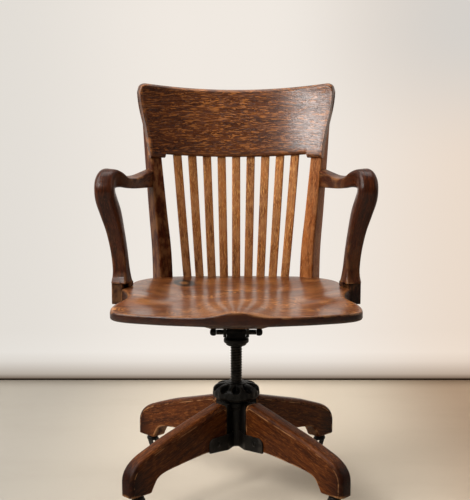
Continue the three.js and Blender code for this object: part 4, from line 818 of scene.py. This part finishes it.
def arm_bend(side):
    stations, grain = [], 0.0
    start = (STUMP_LEDGE / ARM_RISE) / ARM_SHARES[1][2] / (len(ARM_SHARES) - 1)
    for splay, run, rise, width, depth, *angles, rounded in read_table(ARM_SHARES, np.linspace(start, 1, ARM_STATIONS)):
        x, y = side * (ARM_FOOT_X + splay * ARM_SPLAY), ARM_FRONT_Y + run * ARM_RUN
        centre = vec(x, y, SEAT_TOP + FIT + rise * ARM_RISE)
        p, t, r = np.radians(angles)
        across = turn_z(vec(side * math.cos(r), 0, math.sin(r)), math.degrees(side * t))
        out = vec(-side * math.sin(r) * math.sin(p), -math.cos(p), math.sin(p) * math.cos(r))
        half = ARM_WIDTH * width / 2, ARM_DEPTH * depth / 2
        if stations:
            grain += np.linalg.norm(centre - stations[-1][0])
        wood = (grain, 150 * side, 70 * side)
        stations.append((centre, across, turn_z(out, math.degrees(side * t)), *half, rounded * min(half), 6, wood))
    return rod(stations)


def beside_seat(side, start, end, ahead, bottom, top):
    """A slab in plan between two lines beside the seat's edge at an arm's foot, from ahead along it to its end."""
    plan = []
    for out, along in ((start, ahead), (end, ahead), (end, SHOE_LENGTH), (start, SHOE_LENGTH)):
        q = SHOE_FRONT + SHOE_OUT * out + SHOE_ALONG * along
        plan.append((side * q[0], q[1]))
    return loft([[vec(x, y, z) for x, y in plan] for z in (bottom, top)])


STEP_HEIGHT = SEAT_TOP + STUMP_LEDGE + 0.5
for side, name in SIDES:
    shape, wood = post(side)
    # Painted shade over the whole left post
    build(f"post_{name}", shape, POST_OAK, "upper", f"back_post_{name}", wood=wood, shade=(1 - side) / 2)
    shape, wood = arm_bend(side)
    build(f"arm_bend_{name}", shape, ARM_OAK, "upper", f"arm_{name}", wood=wood)
    foot = joined(
        beside_seat(side, FIT, FIT + STUMP_SHOE, STUMP_SHOE_SETBACK, SEAT_BOTTOM - STUMP_SHOE_DROP, STEP_HEIGHT),
        beside_seat(side, -STUMP_SEATING, FIT + 0.5, SHOE_LENGTH / 2, SEAT_TOP + FIT, STEP_HEIGHT))
    # Painted shade over the arm's foot
    build(f"arm_foot_{name}", foot, ARM_OAK, "upper", None, bevel=1.5, shade=0.75,
          wood=lambda p, side=side: p[:, [2, 0, 1]] + vec(0, 60 * side, 0))


# Block and iron under the seat

BLOCK_WIDTH, BLOCK_FOOT_WIDTH, BLOCK_FRONT, BLOCK_BACK = 200, 106, 150, 130
foot, w, slope = BLOCK_FOOT_WIDTH / 2, BLOCK_WIDTH / 2, lerp(BLOCK_BOTTOM, BLOCK_TOP, 0.8)
outline = [(-foot, BLOCK_BOTTOM), (foot, BLOCK_BOTTOM), (w, slope), (w, BLOCK_TOP), (-w, BLOCK_TOP), (-w, slope)]
block = board(outline, BLOCK_FRONT + BLOCK_BACK, "y", (BLOCK_BACK - BLOCK_FRONT) / 2)
build("block_board", block, BLOCK_OAK, "upper", "seat_block", bevel=1.5, wood=lambda p: p[:, [1, 0, 2]])

IRON_WIDTH, IRON_FRONT, IRON_BACK, IRON_THICKNESS, IRON_CORNER = 104, 100, 105, 5, 12
CHEEK, CHEEK_WIDTH, CHEEK_TOP_WIDTH = 7, 24, 64
YOKE_BOSS_WIDTH = 42.6
RUNNING = 0.5


def seat_iron():
    w, r, middle = IRON_WIDTH / 2, CHEEK_WIDTH / 2, IRON_BOTTOM + IRON_THICKNESS / 2
    plan = round_corners([(-w, -IRON_FRONT), (w, -IRON_FRONT), (w, IRON_BACK), (-w, IRON_BACK)], IRON_CORNER, 5, True)
    plate = board(plan, IRON_THICKNESS, "z", middle)
    right = curve(vec(r, AXLE_HEIGHT), vec(r, IRON_BOTTOM - IRON_THICKNESS), vec(CHEEK_TOP_WIDTH / 2, middle), 10)
    outline = [p * vec(-1, 1) for p in right[::-1]] + arc(0, AXLE_HEIGHT, r, 1, 2, 24)[1:-1] + right
    x = YOKE_BOSS_WIDTH / 2 + RUNNING + CHEEK / 2
    return joined(plate, *(board(outline, CHEEK, "x", side * x) for side, _ in SIDES))


build("iron_frame", seat_iron(), BLACK_IRON, "upper", "seat_iron", bevel=1.2)

AXLE_NUT_RADIUS, AXLE_NUT_LENGTH, AXLE_NUT_REACH = 8.4, 14, 58.5
NUT_SHARES = [(0, 0), (0.7, 0), (0.94, 0.12), (1, 0.4), (0.97, 0.62), (0.82, 0.84), (0.5, 0.97), (0, 1)]
for side, name in SIDES:
    start = AXLE_NUT_REACH - AXLE_NUT_LENGTH + FIT
    profile = [(r * AXLE_NUT_RADIUS, side * (start + h * AXLE_NUT_LENGTH)) for r, h in NUT_SHARES]
    nut = lathe(profile, 2, 32, (0, 0, AXLE_HEIGHT), "x")
    build(f"nut_{name}", nut, BLACK_IRON, "upper", f"axle_nut_{name}")


# Yoke with its collar, boss and rear arm

YOKE_RADIUS, YOKE_LIP_RADIUS, YOKE_LIP_HEIGHT, YOKE_COLLAR_HEIGHT, YOKE_EDGE = 28, 23.2, 5.3, 11, 2.5
YOKE_BOSS_DEPTH, YOKE_BOSS_ROUND, YOKE_BOSS_SUNK = 30, 12, 4
SPRING_BACK = 60
PLATE_THICKNESS, PLATE_WIDTH, PLATE_BELOW_AXLE = 9, 40, 9


def yoke():
    lip = YOKE_BOTTOM + YOKE_LIP_HEIGHT
    top = lip + YOKE_COLLAR_HEIGHT
    collar = lathe([
        (0, YOKE_BOTTOM), (YOKE_LIP_RADIUS - YOKE_EDGE, YOKE_BOTTOM), (YOKE_LIP_RADIUS, YOKE_BOTTOM + YOKE_EDGE),
        (YOKE_LIP_RADIUS, lip), (YOKE_RADIUS - YOKE_EDGE, lip), (YOKE_RADIUS, lip + YOKE_EDGE), (YOKE_RADIUS, top - 2),
        (YOKE_RADIUS - 2, top), (0, top)], 1.5, 72)
    half, low_edge = YOKE_BOSS_DEPTH / 2, top - YOKE_BOSS_SUNK
    outline = [(-half, low_edge), (half, low_edge)] + arc(0, AXLE_HEIGHT, YOKE_BOSS_ROUND, 0, 1, 24)
    boss = board(outline, YOKE_BOSS_WIDTH, "x")
    w = PLATE_WIDTH / 2
    plan = [(-w, 0), (w, 0)] + arc(0, SPRING_BACK, w, 0, 1, 32)
    plate = board(plan, PLATE_THICKNESS, "z", AXLE_HEIGHT - PLATE_BELOW_AXLE - PLATE_THICKNESS / 2)
    return joined(collar, boss, plate)


build("yoke_casting", yoke(), BLACK_IRON, "yoke", "screw_yoke", bevel=1.0)


# Tilt spring, its bolt, cup and knob

SPRING_RADIUS, SPRING_WIRE, SPRING_CURLS = 14, 4, 4
SPRING_LOW = AXLE_HEIGHT - PLATE_BELOW_AXLE + FIT
SPRING_HIGH = low("spring_cup") - FIT


def spring():
    rise = SPRING_HIGH - SPRING_LOW - 2 * SPRING_WIRE
    way = np.linspace(0, 1, SPRING_CURLS * 40 + 1)
    path = [vec(SPRING_RADIUS, 0, SPRING_LOW), vec(SPRING_RADIUS, 0, SPRING_LOW + SPRING_WIRE / 2)]
    path += [*circle(SPRING_RADIUS, SPRING_LOW + SPRING_WIRE + rise * way, 2 * math.pi * SPRING_CURLS * way)]
    path += [vec(SPRING_RADIUS, 0, SPRING_HIGH - SPRING_WIRE / 2), vec(SPRING_RADIUS, 0, SPRING_HIGH)]
    rings = []
    for k, point in enumerate(path):
        at_end = k in (0, len(path) - 1)
        along = vec(0, 0, 1) if at_end else path[k + 1] - path[k - 1]
        along = along / np.linalg.norm(along)
        radial = point * vec(1, 1, 0) / SPRING_RADIUS
        side = np.cross(along, radial)
        side /= np.linalg.norm(side)
        out = np.cross(side, along)
        middle = point + vec(0, SPRING_BACK, 0)
        rings.append([middle + SPRING_WIRE / 2 * (out * math.cos(a) + side * math.sin(a)) for a in full_turn(12)])
    return loft(rings)


coil = build("coil_spring", spring(), DARK_STEEL, None, "tilt_spring")
# The coil rides on no body and stays where it is built; where its ends lie, with a margin, is worked out below but not
# used
SPRING_MARGIN = 2
spring_ends = SPRING_LOW - SPRING_MARGIN, SPRING_HIGH + SPRING_MARGIN
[(0, SWIVEL_Y + SPRING_BACK * MM, height * MM) for height in spring_ends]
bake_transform(coil)

CUP_RADIUS, BOLT_RADIUS = 18, 4
bottom, top = low("spring_cup"), high("spring_cup")
profile = [(BOLT_RADIUS, bottom), (CUP_RADIUS - 1, bottom), (CUP_RADIUS, bottom + 1), (CUP_RADIUS, top),
           (BOLT_RADIUS, top)]
build("cup_washer", lathe(profile, 0.8, 48, (0, SPRING_BACK, 0)), BLACK_IRON, "upper", "spring_cup")

KNOB_RADIUS, KNOB_LOBES, KNOB_LOBE_DEPTH = 17, 6, 2
KNOB_END = [(0.25, 0), (0.86, 0), (0.94, 0.8), (1, 2.5)]  # shares of the radius, and how far inside an end they lie


def knob():
    bottom, top = low("tension_knob"), high("tension_knob")
    middle = vec(0, SPRING_BACK, (bottom + top) / 2)
    angles = full_turn(96)
    radius = KNOB_RADIUS - KNOB_LOBE_DEPTH / 2 * (1 - np.cos(KNOB_LOBES * angles))
    return loft([circle(share * radius, z, angles) + middle for share, z in both_ends((top - bottom) / 2, KNOB_END)])


build("knob_casting", knob(), BLACK_IRON, "knob", "tension_knob")


# Height screw

SCREW_RADIUS, SCREW_PITCH, THREAD_DEPTH = 13, 6, 1.3
TURN_STEPS = 24  # rings along one turn of the thread
BORE = SCREW_RADIUS + RUNNING  # radius of the hole that it runs in
SCREW_LOW, SCREW_HIGH = low("height_screw"), YOKE_BOTTOM - FIT


def screw():
    rings, angles = [], full_turn(40)
    for z in np.linspace(SCREW_LOW, SCREW_HIGH, TURN_STEPS * int(round((SCREW_HIGH - SCREW_LOW) / SCREW_PITCH))):
        phase = ((z - SCREW_LOW) / SCREW_PITCH - angles / (2 * math.pi)) % 1
        depth = ease(0.12, 0.3, phase) * (1 - ease(0.7, 0.88, phase))
        rings.append(circle(SCREW_RADIUS - THREAD_DEPTH * depth, z, angles))
    return loft(rings)


build("screw_thread", screw(), DARK_STEEL, "screw", "height_screw", sharp=60)


# Hand wheel: a domed casting with slots between curved ribs

WHEEL_RADIUS, WHEEL_FOOT_RADIUS, WHEEL_CROWN_RADIUS = 52.8, 25, 17
WHEEL_SHARES = [
    [WHEEL_FOOT_RADIUS / WHEEL_RADIUS, 0], [0.7, 0.1], [0.9, 0.2], [0.99, 0.34], [1, 0.5], [0.965, 0.68], [0.86, 0.83],
    [0.66, 0.92], [0.45, 0.95], [WHEEL_CROWN_RADIUS / WHEEL_RADIUS, 1],
]
PETALS = 10
# How far up the skin a pocket and the two raised bands are, how far they reach and how deep or proud they are
POCKET_AT, POCKET_REACH, POCKET_DEPTH = 0.69, 0.19, 13
RIM_AT, RIM_REACH, RIM_HEIGHT = 0.42, 0.09, 1.6
BEAD_AT, BEAD_REACH, BEAD_HEIGHT = 0.9, 0.03, 1.2


def hand_wheel():
    angles = full_turn(400)
    petal = (angles * PETALS / (2 * math.pi)) % 1 - 0.5
    ts = np.linspace(0, 1, 90)
    skin = read_table(WHEEL_SHARES, ts) * vec(WHEEL_RADIUS, WHEEL_TOP - WHEEL_BOTTOM)
    slope = np.gradient(skin, axis=0)
    normal = np.column_stack([slope[:, 1], -slope[:, 0]]) / np.linalg.norm(slope, axis=1)[:, None]
    rings = [circle(BORE, WHEEL_BOTTOM, angles)]
    for t, (radius, z), (nr, nz) in zip(ts, skin, normal):
        inside = (petal / 0.37) ** 2 + ((t - POCKET_AT) / POCKET_REACH) ** 2
        pocket = POCKET_DEPTH * (1 - ease(0.6, 1.05, inside))
        rim = RIM_HEIGHT * np.exp(-(((t - RIM_AT) / RIM_REACH) ** 2)) * (0.5 + 0.5 * np.cos(petal * 4 * math.pi))
        bead = BEAD_HEIGHT * np.exp(-(((t - BEAD_AT) / BEAD_REACH) ** 2))
        push = bead - pocket - rim
        rings.append(circle(radius + nr * push, WHEEL_BOTTOM + z + nz * push, angles))
    return loft(rings + [circle(BORE, WHEEL_TOP, angles)])


build("wheel_casting", hand_wheel(), WHEEL_IRON, "hand_wheel", "height_wheel", sharp=60)


# Base hub, its ears, legs and leg bolts

HUB_RADIUS, HUB_FLANGE_RADIUS, HUB_FLANGE_HEIGHT = 19.5, 26, 9
HUB_ROOT = 15.5  # where the arms start inside the hub's wall
EAR_REACH, EAR_HEIGHT, EAR_THICKNESS, EAR_CORNER, EAR_LIFT = 102, 31, 4, 14, 6
LEG_REACH, LEG_THICKNESS, LEG_RISE = 322, 36, 154.7
HUB_ARM_LENGTH, HUB_ARM_ROOT = 27, 10
HUB_ARM_REACH = HUB_RADIUS + HUB_ARM_LENGTH
LEG_ANGLES = [-135, -45, 45, 135]
LEG_TOP_SHARES = [[0, 1], [0.145, 0.935], [0.443, 0.775], [0.642, 0.667], [0.838, 0.535]]
LEG_TOE_SHARES = [[0.95, 0.455], [1, 0.34], [1, 0.198]]
LEG_UNDER_SHARES = [
    [0, 0.29], [0.281, 0.308], [0.553, 0.262], [0.685, 0.228], [0.751, 0.179], [0.788, 0.089], [0.814, 0],
]
LEG_TOP_ROUND, LEG_UNDER_ROUND, LEG_FOOT_ROUND = 9, 4, 1.5
LEG_STATIONS = 90
# Shares of the way from hub to toe at which the top and the underside face each other
LEG_PAIR_SHARES = [(0, 0), (0.68, 0.79), (0.91, 0.94), (1, 1)]
LEG_SLOPE = 0.33  # how steeply the leg, and its grain with it, falls towards the toe
LEG_LINE, LEG_LINE_HIGHLIGHT = 1.6, 0.8  # width of the pale line below a rounded edge, a painted highlight, and how strong it is below the top's
WHEEL_ROOM = 2  # under the hand wheel, and this far past its edge, a leg is no higher than the hub


def leg_point(share):
    return vec(HUB_RADIUS + share[0] * (LEG_REACH - HUB_RADIUS), LEG_BOTTOM + share[1] * LEG_RISE)


def along_line(points, shares, start):
    """Points at shares of the way along a line, from where it passes start outwards."""
    points = np.array(points)
    first = vec(start, np.interp(start, points[:len(points) // 2, 0], points[:len(points) // 2, 1]))
    points = np.concatenate([[first], points[points[:, 0] > start + 0.01]])
    way = np.concatenate([[0], np.cumsum(np.linalg.norm(np.diff(points, axis=0), axis=1))])
    return np.column_stack([np.interp(shares * way[-1], way, points[:, axis]) for axis in (0, 1)])


def leg_lines():
    """The leg's top with its toe, and its underside, as reach and height."""
    top = [leg_point(p) for p in read_table(LEG_TOP_SHARES, np.linspace(0, 1, 40))]
    a, b, c, d = (leg_point(p) for p in LEG_TOP_SHARES[-1:] + LEG_TOE_SHARES)
    for s in np.linspace(0, 1, 24)[1:]:
        top.append((1 - s) ** 3 * a + 3 * s * (1 - s) ** 2 * b + 3 * s * s * (1 - s) * c + s ** 3 * d)
    top.append(vec(LEG_REACH, LEG_BOTTOM))
    under = [leg_point(p) for p in read_table(LEG_UNDER_SHARES, np.linspace(0, 1, 60))]
    return top, under


def half_width(r, grown=0.0):
    """Half the width of the hub's arm at a radius, from its root to a leg's thickness."""
    return lerp(HUB_ARM_ROOT, LEG_THICKNESS, np.clip((r - HUB_RADIUS) / HUB_ARM_LENGTH, 0, 1)) / 2 + grown


def hub():
    side, flange = HUB_RADIUS, HUB_FLANGE_RADIUS
    return lathe([
        (BORE, HUB_BOTTOM), (side - 2, HUB_BOTTOM), (side, HUB_BOTTOM + 2), (side, HUB_TOP - 2 * HUB_FLANGE_HEIGHT),
        (flange, HUB_TOP - HUB_FLANGE_HEIGHT), (flange, HUB_TOP - 1), (flange - 1, HUB_TOP), (BORE, HUB_TOP),
    ], 1.5, 72, bored=True)


def upright(r, a, b, low_edge, high_edge):
    """A section of a bar along +X, at r, between the lines y = a and y = b."""
    return [vec(r, a, low_edge), vec(r, b, low_edge), vec(r, b, high_edge), vec(r, a, high_edge)]


def hub_arms():
    """Four arms out to the legs' inner ends, and two plates that clasp each leg, bent off its arm."""
    height = lambda line, r: np.interp(r, *zip(*line[:30]))
    top, under = leg_lines()
    rings = []
    for r in (HUB_ROOT, HUB_RADIUS, (HUB_RADIUS + HUB_ARM_REACH) / 2, HUB_ARM_REACH):
        rings.append(upright(r, -half_width(r), half_width(r), height(under, r), min(height(top, r), HUB_TOP)))
    arm = [loft(rings)]
    bends = HUB_ARM_REACH + vec(-3, -1, 1, 3)
    corner = EAR_REACH - EAR_CORNER * (1 - np.sin(np.linspace(0, math.pi / 2, 12)))
    for side, _ in SIDES:
        rings = []
        for r in (HUB_ROOT, HUB_RADIUS, *bends, (HUB_ARM_REACH + EAR_REACH) / 2, *corner):
            low_edge = HUB_BOTTOM + EAR_LIFT * max(0.0, (r - HUB_RADIUS) / (EAR_REACH - HUB_RADIUS))
            past = max(0.0, r - EAR_REACH + EAR_CORNER)
            fall = EAR_CORNER - math.sqrt(max(0.0, EAR_CORNER ** 2 - past ** 2))
            inner = side * half_width(r, FIT) if r > HUB_ARM_REACH else 0.0
            outer = side * half_width(r, FIT + EAR_THICKNESS)
            rings.append(upright(r, inner, outer, low_edge, HUB_BOTTOM + EAR_LIFT + EAR_HEIGHT - fall))
        arm.append(loft(rings))
    return joined(*(turned(part, angle) for angle in LEG_ANGLES for part in arm))


build("hub_casting", joined(hub(), hub_arms()), BLACK_IRON, "base", "base_hub", bevel=0.8)


def leg():
    """A leg as a skin over sections from the hub's arm to the toe, with its top edges well rounded."""
    top, under = leg_lines()
    shares = np.linspace(0, 1, LEG_STATIONS)
    start = HUB_ARM_REACH + FIT
    tops = along_line(top, shares, start)
    unders = along_line(under, np.interp(shares, *zip(*LEG_PAIR_SHARES)), start)
    near = tops[:, 0] < WHEEL_RADIUS + WHEEL_ROOM
    tops[near, 1] = np.minimum(tops[near, 1], HUB_TOP)
    r = LEG_FOOT_ROUND
    sections = [(tops[0], unders[0], r), (tops[0] + vec(r, 0), unders[0] + vec(r, 0), 0)]
    sections += [(t, u, 0) for t, u in zip(tops[2:-1], unders[2:-1])]
    sections += [(tops[-1] + vec(0, r), unders[-1] + vec(0, r), 0), (tops[-1], unders[-1], r)]
    rings, wear_and_highlight = [], []
    for t, u, inset in sections:
        up = (t - u) / np.linalg.norm(t - u)
        ring = []
        for edge, inward, radius, side, order in ((t, -up, LEG_TOP_ROUND, 1, 1), (t, -up, LEG_TOP_ROUND, -1, -1),
                                                  (u, up, LEG_UNDER_ROUND, -1, 1), (u, up, LEG_UNDER_ROUND, 1, -1)):
            corner = [(0, radius + LEG_LINE)]
            corner += [(radius * (1 - math.cos(a)), radius * (1 - math.sin(a))) for a in QUARTER]
            for inside, down in corner[::order]:
                place = edge + inward * (down + inset)
                ring.append(vec(place[0], side * (LEG_THICKNESS / 2 - inset - inside), place[1]))
        rings.append(ring)
        # A painted highlight: a pale line below each of the top's rounded edges, in the worn colour
        wear_and_highlight.append([LEG_LINE_HIGHLIGHT if k in (1, 2 * len(QUARTER)) else 0 for k in range(len(ring))])
    return loft(rings), np.concatenate(wear_and_highlight)


def leg_wood(number):
    def wood(p):
        r, y, z = turn_z(p, -LEG_ANGLES[number]).T
        return np.column_stack([r - LEG_SLOPE * z + 400 * number, z + LEG_SLOPE * r + 37 * number, y])
    return wood


def toe_shade(p):
    return ease(LEG_REACH - 36, LEG_REACH - 6, np.hypot(p[:, 0], p[:, 1]))


BOLT_REACH, BOLT_LIFT = 78, 22
BOLT_HEAD = [(0, 2.4), (2.5, 2.2), (5, 1.2), (6.2, 0), (4, -2), (0, -2)]  # radii, and how far they lie outside the ear
ear_side = LEG_THICKNESS / 2 + FIT + EAR_THICKNESS
bolts = joined(*(
    lathe([(r, side * (ear_side + h)) for r, h in BOLT_HEAD], 0.6, 24, (BOLT_REACH, 0, HUB_BOTTOM + BOLT_LIFT), "y")
    for side, _ in SIDES))
shape, wear_and_highlight = leg()
for k, angle in enumerate(LEG_ANGLES, 1):
    build(f"leg_board_{k}", turned(shape, angle), LEG_OAK, "base", f"leg_{k}", sharp=50, wear_and_highlight=wear_and_highlight,
          shade=toe_shade, wood=leg_wood(k - 1))
    build(f"bolt_{k}", turned(bolts, angle), DARK_STEEL, "base", f"leg_bolt_{k}")


# Casters

CASTER_REACH, CASTER_TRAIL = 290, 14
TREAD_RADIUS, TREAD_WIDTH, TREAD_ROUND = 21, 15, 4
CAP_RADIUS, CAP_HEIGHT, CAP_TOP, CHEEK_THICKNESS, CHEEK_FOOT = 13.5, 10, 58.5, 3, 11
CAP_SHARES = [(0, 0), (0.9, 0), (1, 0.3), (1, 0.7), (0.8, 1)]
STEM_RADIUS, STEM_HEIGHT = 4, 3.5
CASTER_AXLE = (-CASTER_TRAIL, 0, TREAD_RADIUS)


def caster_fork():
    stem = [(STEM_RADIUS, CAP_TOP), (STEM_RADIUS, CAP_TOP + STEM_HEIGHT), (0, CAP_TOP + STEM_HEIGHT)]
    cap = lathe([(r * CAP_RADIUS, CAP_TOP - (1 - h) * CAP_HEIGHT) for r, h in CAP_SHARES] + stem, 1.6, 48)
    outline = [(CAP_RADIUS * 0.55, CAP_TOP - CAP_HEIGHT / 2), (-CAP_RADIUS * 0.75, CAP_TOP - CAP_HEIGHT / 2)]
    outline += arc(-CASTER_TRAIL, TREAD_RADIUS, CHEEK_FOOT / 2, 1, 2, 20)
    offset = TREAD_WIDTH / 2 + RUNNING + CHEEK_THICKNESS / 2
    return joined(cap, *(board(outline, CHEEK_THICKNESS, "y", side * offset) for side, _ in SIDES))


def caster_wheel():
    r = TREAD_RADIUS
    end = [(0, 1), (6, 1), (7.5, 0), (9, 1.2), (r - TREAD_ROUND - 1, 1.2), (r - TREAD_ROUND, 0), (r - 1.2, 1.5)]
    return lathe(both_ends(TREAD_WIDTH / 2, end, [(r, 0)]), 1.5, 64, CASTER_AXLE, "y")


def caster_axle():
    reach = TREAD_WIDTH / 2 + RUNNING + CHEEK_THICKNESS + 2
    return lathe(both_ends(reach, [(0, 0), (2.2, 0), (3, 0.8)]), 0.5, 24, CASTER_AXLE, "y")


def caster_socket():
    low_edge, step, top = CAP_TOP + 0.5, CAP_TOP + 3.5, LEG_BOTTOM + 36
    return lathe([(4.5, low_edge), (12.5, low_edge), (12.5, step), (6.3, step), (6.3, top), (4.5, top)], 0.8, 40)


socket, fork, roller, axle = (turned(shape, 0, CASTER_REACH) for shape in (
    caster_socket(), caster_fork(), caster_wheel(), caster_axle()))
for k, angle in enumerate(LEG_ANGLES, 1):
    build(f"socket_{k}", turned(socket, angle), BLACK_IRON, "base", f"caster_socket_{k}")
    build(f"fork_{k}", turned(fork, angle), CASTER_IRON, f"caster_{k}", f"caster_fork_{k}", bevel=0.6)
    build(f"roller_{k}", turned(roller, angle), CASTER_IRON, f"caster_roller_{k}", f"caster_wheel_{k}")
    build(f"axle_{k}", turned(axle, angle), DARK_STEEL, f"caster_{k}", f"caster_axle_{k}")

for node in ("tilt_axle", "spring_bolt", "thrust_washer", "stump_screw_left", "stump_screw_right", "post_screw_left",
             "post_screw_right"):
    finished(frame["nodes"][node].data, DARK_STEEL)


# Floor, backdrop, light and camera

WALL_Y, WALL_HALF = 0.908, 0.69
# Painted light and shade across the paper: a little dim on the left, palest in the middle, warm on the right, greyer in
# that side's top
WALL_LEFT, WALL_MIDDLE, WALL_RIGHT, WALL_CORNER = (226, 221, 214), (240, 233, 225), (234, 217, 201), (214, 209, 203)
# A paper roll at its foot, painted on the flat backdrop as shade and a faint highlight: height in metres and how much
# of the tone above it is left there
ROLL_SHADE = [(0.0045, 0.015), (0.006, 0.24), (0.02, 0.6), (0.06, 0.93), (0.09, 1.03), (0.16, 1.0)]
ROLL_HEIGHT = 0.16
ROLL_WARMTH = (1, 1.15, 1.3)
FOOT_GAP = 0.12  # how far from the backdrop its shadow on the floor reaches


def wall_colour(s):
    """Painted light across the paper: palest in the middle, warmer on the right; a painted roll at the foot, with a
    faint painted highlight over it and painted shade under it.
    """
    x, y, z = s.split(s.place())
    colour = s.mix(s.step(x, -1.1 * WALL_HALF, -0.2 * WALL_HALF), srgb(*WALL_LEFT), srgb(*WALL_MIDDLE))
    colour = s.mix(s.step(x, 0.2 * WALL_HALF, 1.15 * WALL_HALF), colour, srgb(*WALL_RIGHT))
    colour = s.mix(s.step(x, 0.1 * WALL_HALF, WALL_HALF) * s.step(z, 0.65, 1.1), colour, srgb(*WALL_CORNER))
    roll = s.ramp(z / ROLL_HEIGHT, *((height / ROLL_HEIGHT, tuple(left ** power for power in ROLL_WARMTH))
                                     for height, left in ROLL_SHADE))
    return s.times(colour, roll)


# Painted light and shade across the floor near the chair: dim on the left, lit palest in the middle, darker on the
# right
FLOOR_LEFT, FLOOR_MIDDLE, FLOOR_RIGHT = (154, 149, 140), (216, 204, 186), (172, 148, 124)
FLOOR_PLAIN, FLOOR_GLOW = (188, 182, 172), (205, 200, 191)
FLOOR_FAR = (1.2, 3.6)  # where the floor starts to keep its pale colour, and where it keeps all of it
BOUNCE = (0.25, 0.25, 0.25)  # what the floor sends back of the light that falls on it


def floor_material():
    """Painted boards with painted light and shade across them, cool and dim at the left, warmer and darker at the
    right, scuff marks all over and a painted shadow along the backdrop.
    """
    s = Shader("floor_paint")
    place = s.place()
    x, y, z = s.split(place)
    # Painted light and shade from left to right
    colour = s.mix(s.step(x, -0.6, 0.1), srgb(*FLOOR_LEFT), srgb(*FLOOR_MIDDLE))
    colour = s.mix(s.step(x, 0.3, 0.7), colour, srgb(*FLOOR_RIGHT))
    within = s.step(y, -0.7, -0.15) * (1.0 - s.step(y, WALL_Y, WALL_Y + 0.5))
    within *= 1.0 - s.step(s.math("ABSOLUTE", x), 0.75, 1.3)
    colour = s.mix(within, srgb(*FLOOR_PLAIN), colour)
    marks = s.step(s.noise(place, (2.2, 6, 6), detail=5, roughness=0.6), 0.45, 0.7)
    colour = s.tinted(marks * 0.12, colour, (0.72, 0.68, 0.62))
    specks = s.step(s.noise(place, (90, 90, 90), detail=2), 0.72, 0.78)
    colour = s.mix(specks * 0.25, colour, (0.25, 0.2, 0.15))
    # Painted shadow on the floor along the backdrop's foot
    near = 1.0 - s.span(s.math("ABSOLUTE", WALL_Y - y), 0.0, FOOT_GAP)
    colour = s.tinted(near * near * 0.8, colour, (0.45, 0.42, 0.38))
    colour = s.mix(s.looked_at(), s.times(colour, BOUNCE), colour)
    glow = s.looked_at(0.2) * s.step(s.length(x, y), *FLOOR_FAR)
    return s.surface(one_sided=True, Base_Color=colour, Roughness=0.5, Specular_IOR_Level=0.25,
                     Emission_Color=srgb(*FLOOR_GLOW), Emission_Strength=glow)


def backdrop_material():
    """Matt paper that looks the same however the lamps stand."""
    s = Shader("backdrop_paper")
    paper = s.add("BsdfPrincipled", {"Base Color": srgb(236, 231, 224), "Roughness": 0.9, "Specular IOR Level": 0.2})
    shown = s.add("Emission", {"Color": wall_colour(s), "Strength": 1.0})
    return s.finish(s.blend(s.looked_at(), paper, shown), one_sided=True)


def plane(name, corners, material):
    mesh = bpy.data.meshes.new(name)
    mesh.from_pydata(corners, [], [(0, 1, 2, 3)])
    mesh.materials.append(material)
    added(name, mesh)


FAR = 6  # how far the floor and the backdrop reach, in metres
plane("floor", [(-FAR, -FAR, 0), (FAR, -FAR, 0), (FAR, FAR, 0), (-FAR, FAR, 0)], floor_material())
plane("backdrop", [(-FAR, WALL_Y, 0), (FAR, WALL_Y, 0), (FAR, WALL_Y, FAR), (-FAR, WALL_Y, FAR)], backdrop_material())


def area(name, azimuth, elevation, distance, target, size, power, colour):
    """A soft lamp seen from target at an azimuth, in degrees from the camera's side to the left, and an elevation."""
    a, e = math.radians(azimuth), math.radians(elevation)
    place = Vector(target) + distance * Vector((-math.sin(a) * math.cos(e), -math.cos(a) * math.cos(e), math.sin(e)))
    data = bpy.data.lights.new(name, "AREA")
    data.shape = "RECTANGLE"
    data.size, data.size_y = size
    data.energy, data.color = power, colour
    lamp = added(name, data)
    lamp.location = place
    lamp.rotation_euler = (Vector(target) - place).to_track_quat("-Z", "Y").to_euler()


area("window", 70, 40, 2.8, (0, 0, 0.6), (2.1, 2.3), 100, (1.0, 0.97, 0.93))
area("sheen", 34, 28, 2.6, (0, 0.1, 0.75), (0.55, 0.8), 30, (1.0, 0.97, 0.94))
area("right", -85, 25, 2.4, (0, 0, 0.5), (1.2, 1.4), 7, (1.0, 0.88, 0.72))
area("overhead", 180, 78, 2.6, (0, 0, 0.4), (2.2, 1.6), 46, (1.0, 0.98, 0.95))

# The room's light is dim, though whoever looks past the backdrop sees a pale room
ROOM, ROOM_DIM, ROOM_PALE, ROOM_SHEEN = srgb(240, 236, 230), 0.09, 0.9, 0.06
world = bpy.context.scene.world = bpy.data.worlds.new("studio")
s = Shader(world)
dim, pale = (s.add("Background", {"Color": ROOM, "Strength": strength}) for strength in (ROOM_DIM, ROOM_PALE))
s.finish(s.blend(s.looked_at(ROOM_SHEEN), dim, pale), output="OutputWorld")

camera_data = bpy.data.cameras.new("camera")
camera_data.lens, camera_data.sensor_width = 78.65, 36
camera = bpy.context.scene.camera = added("camera", camera_data)
camera.location = (-0.0028, SWIVEL_Y - 2.385, 0.8855)
camera.rotation_euler = (math.radians(81.9), 0, 0)
bpy.context.scene.view_settings.view_transform = "Standard"
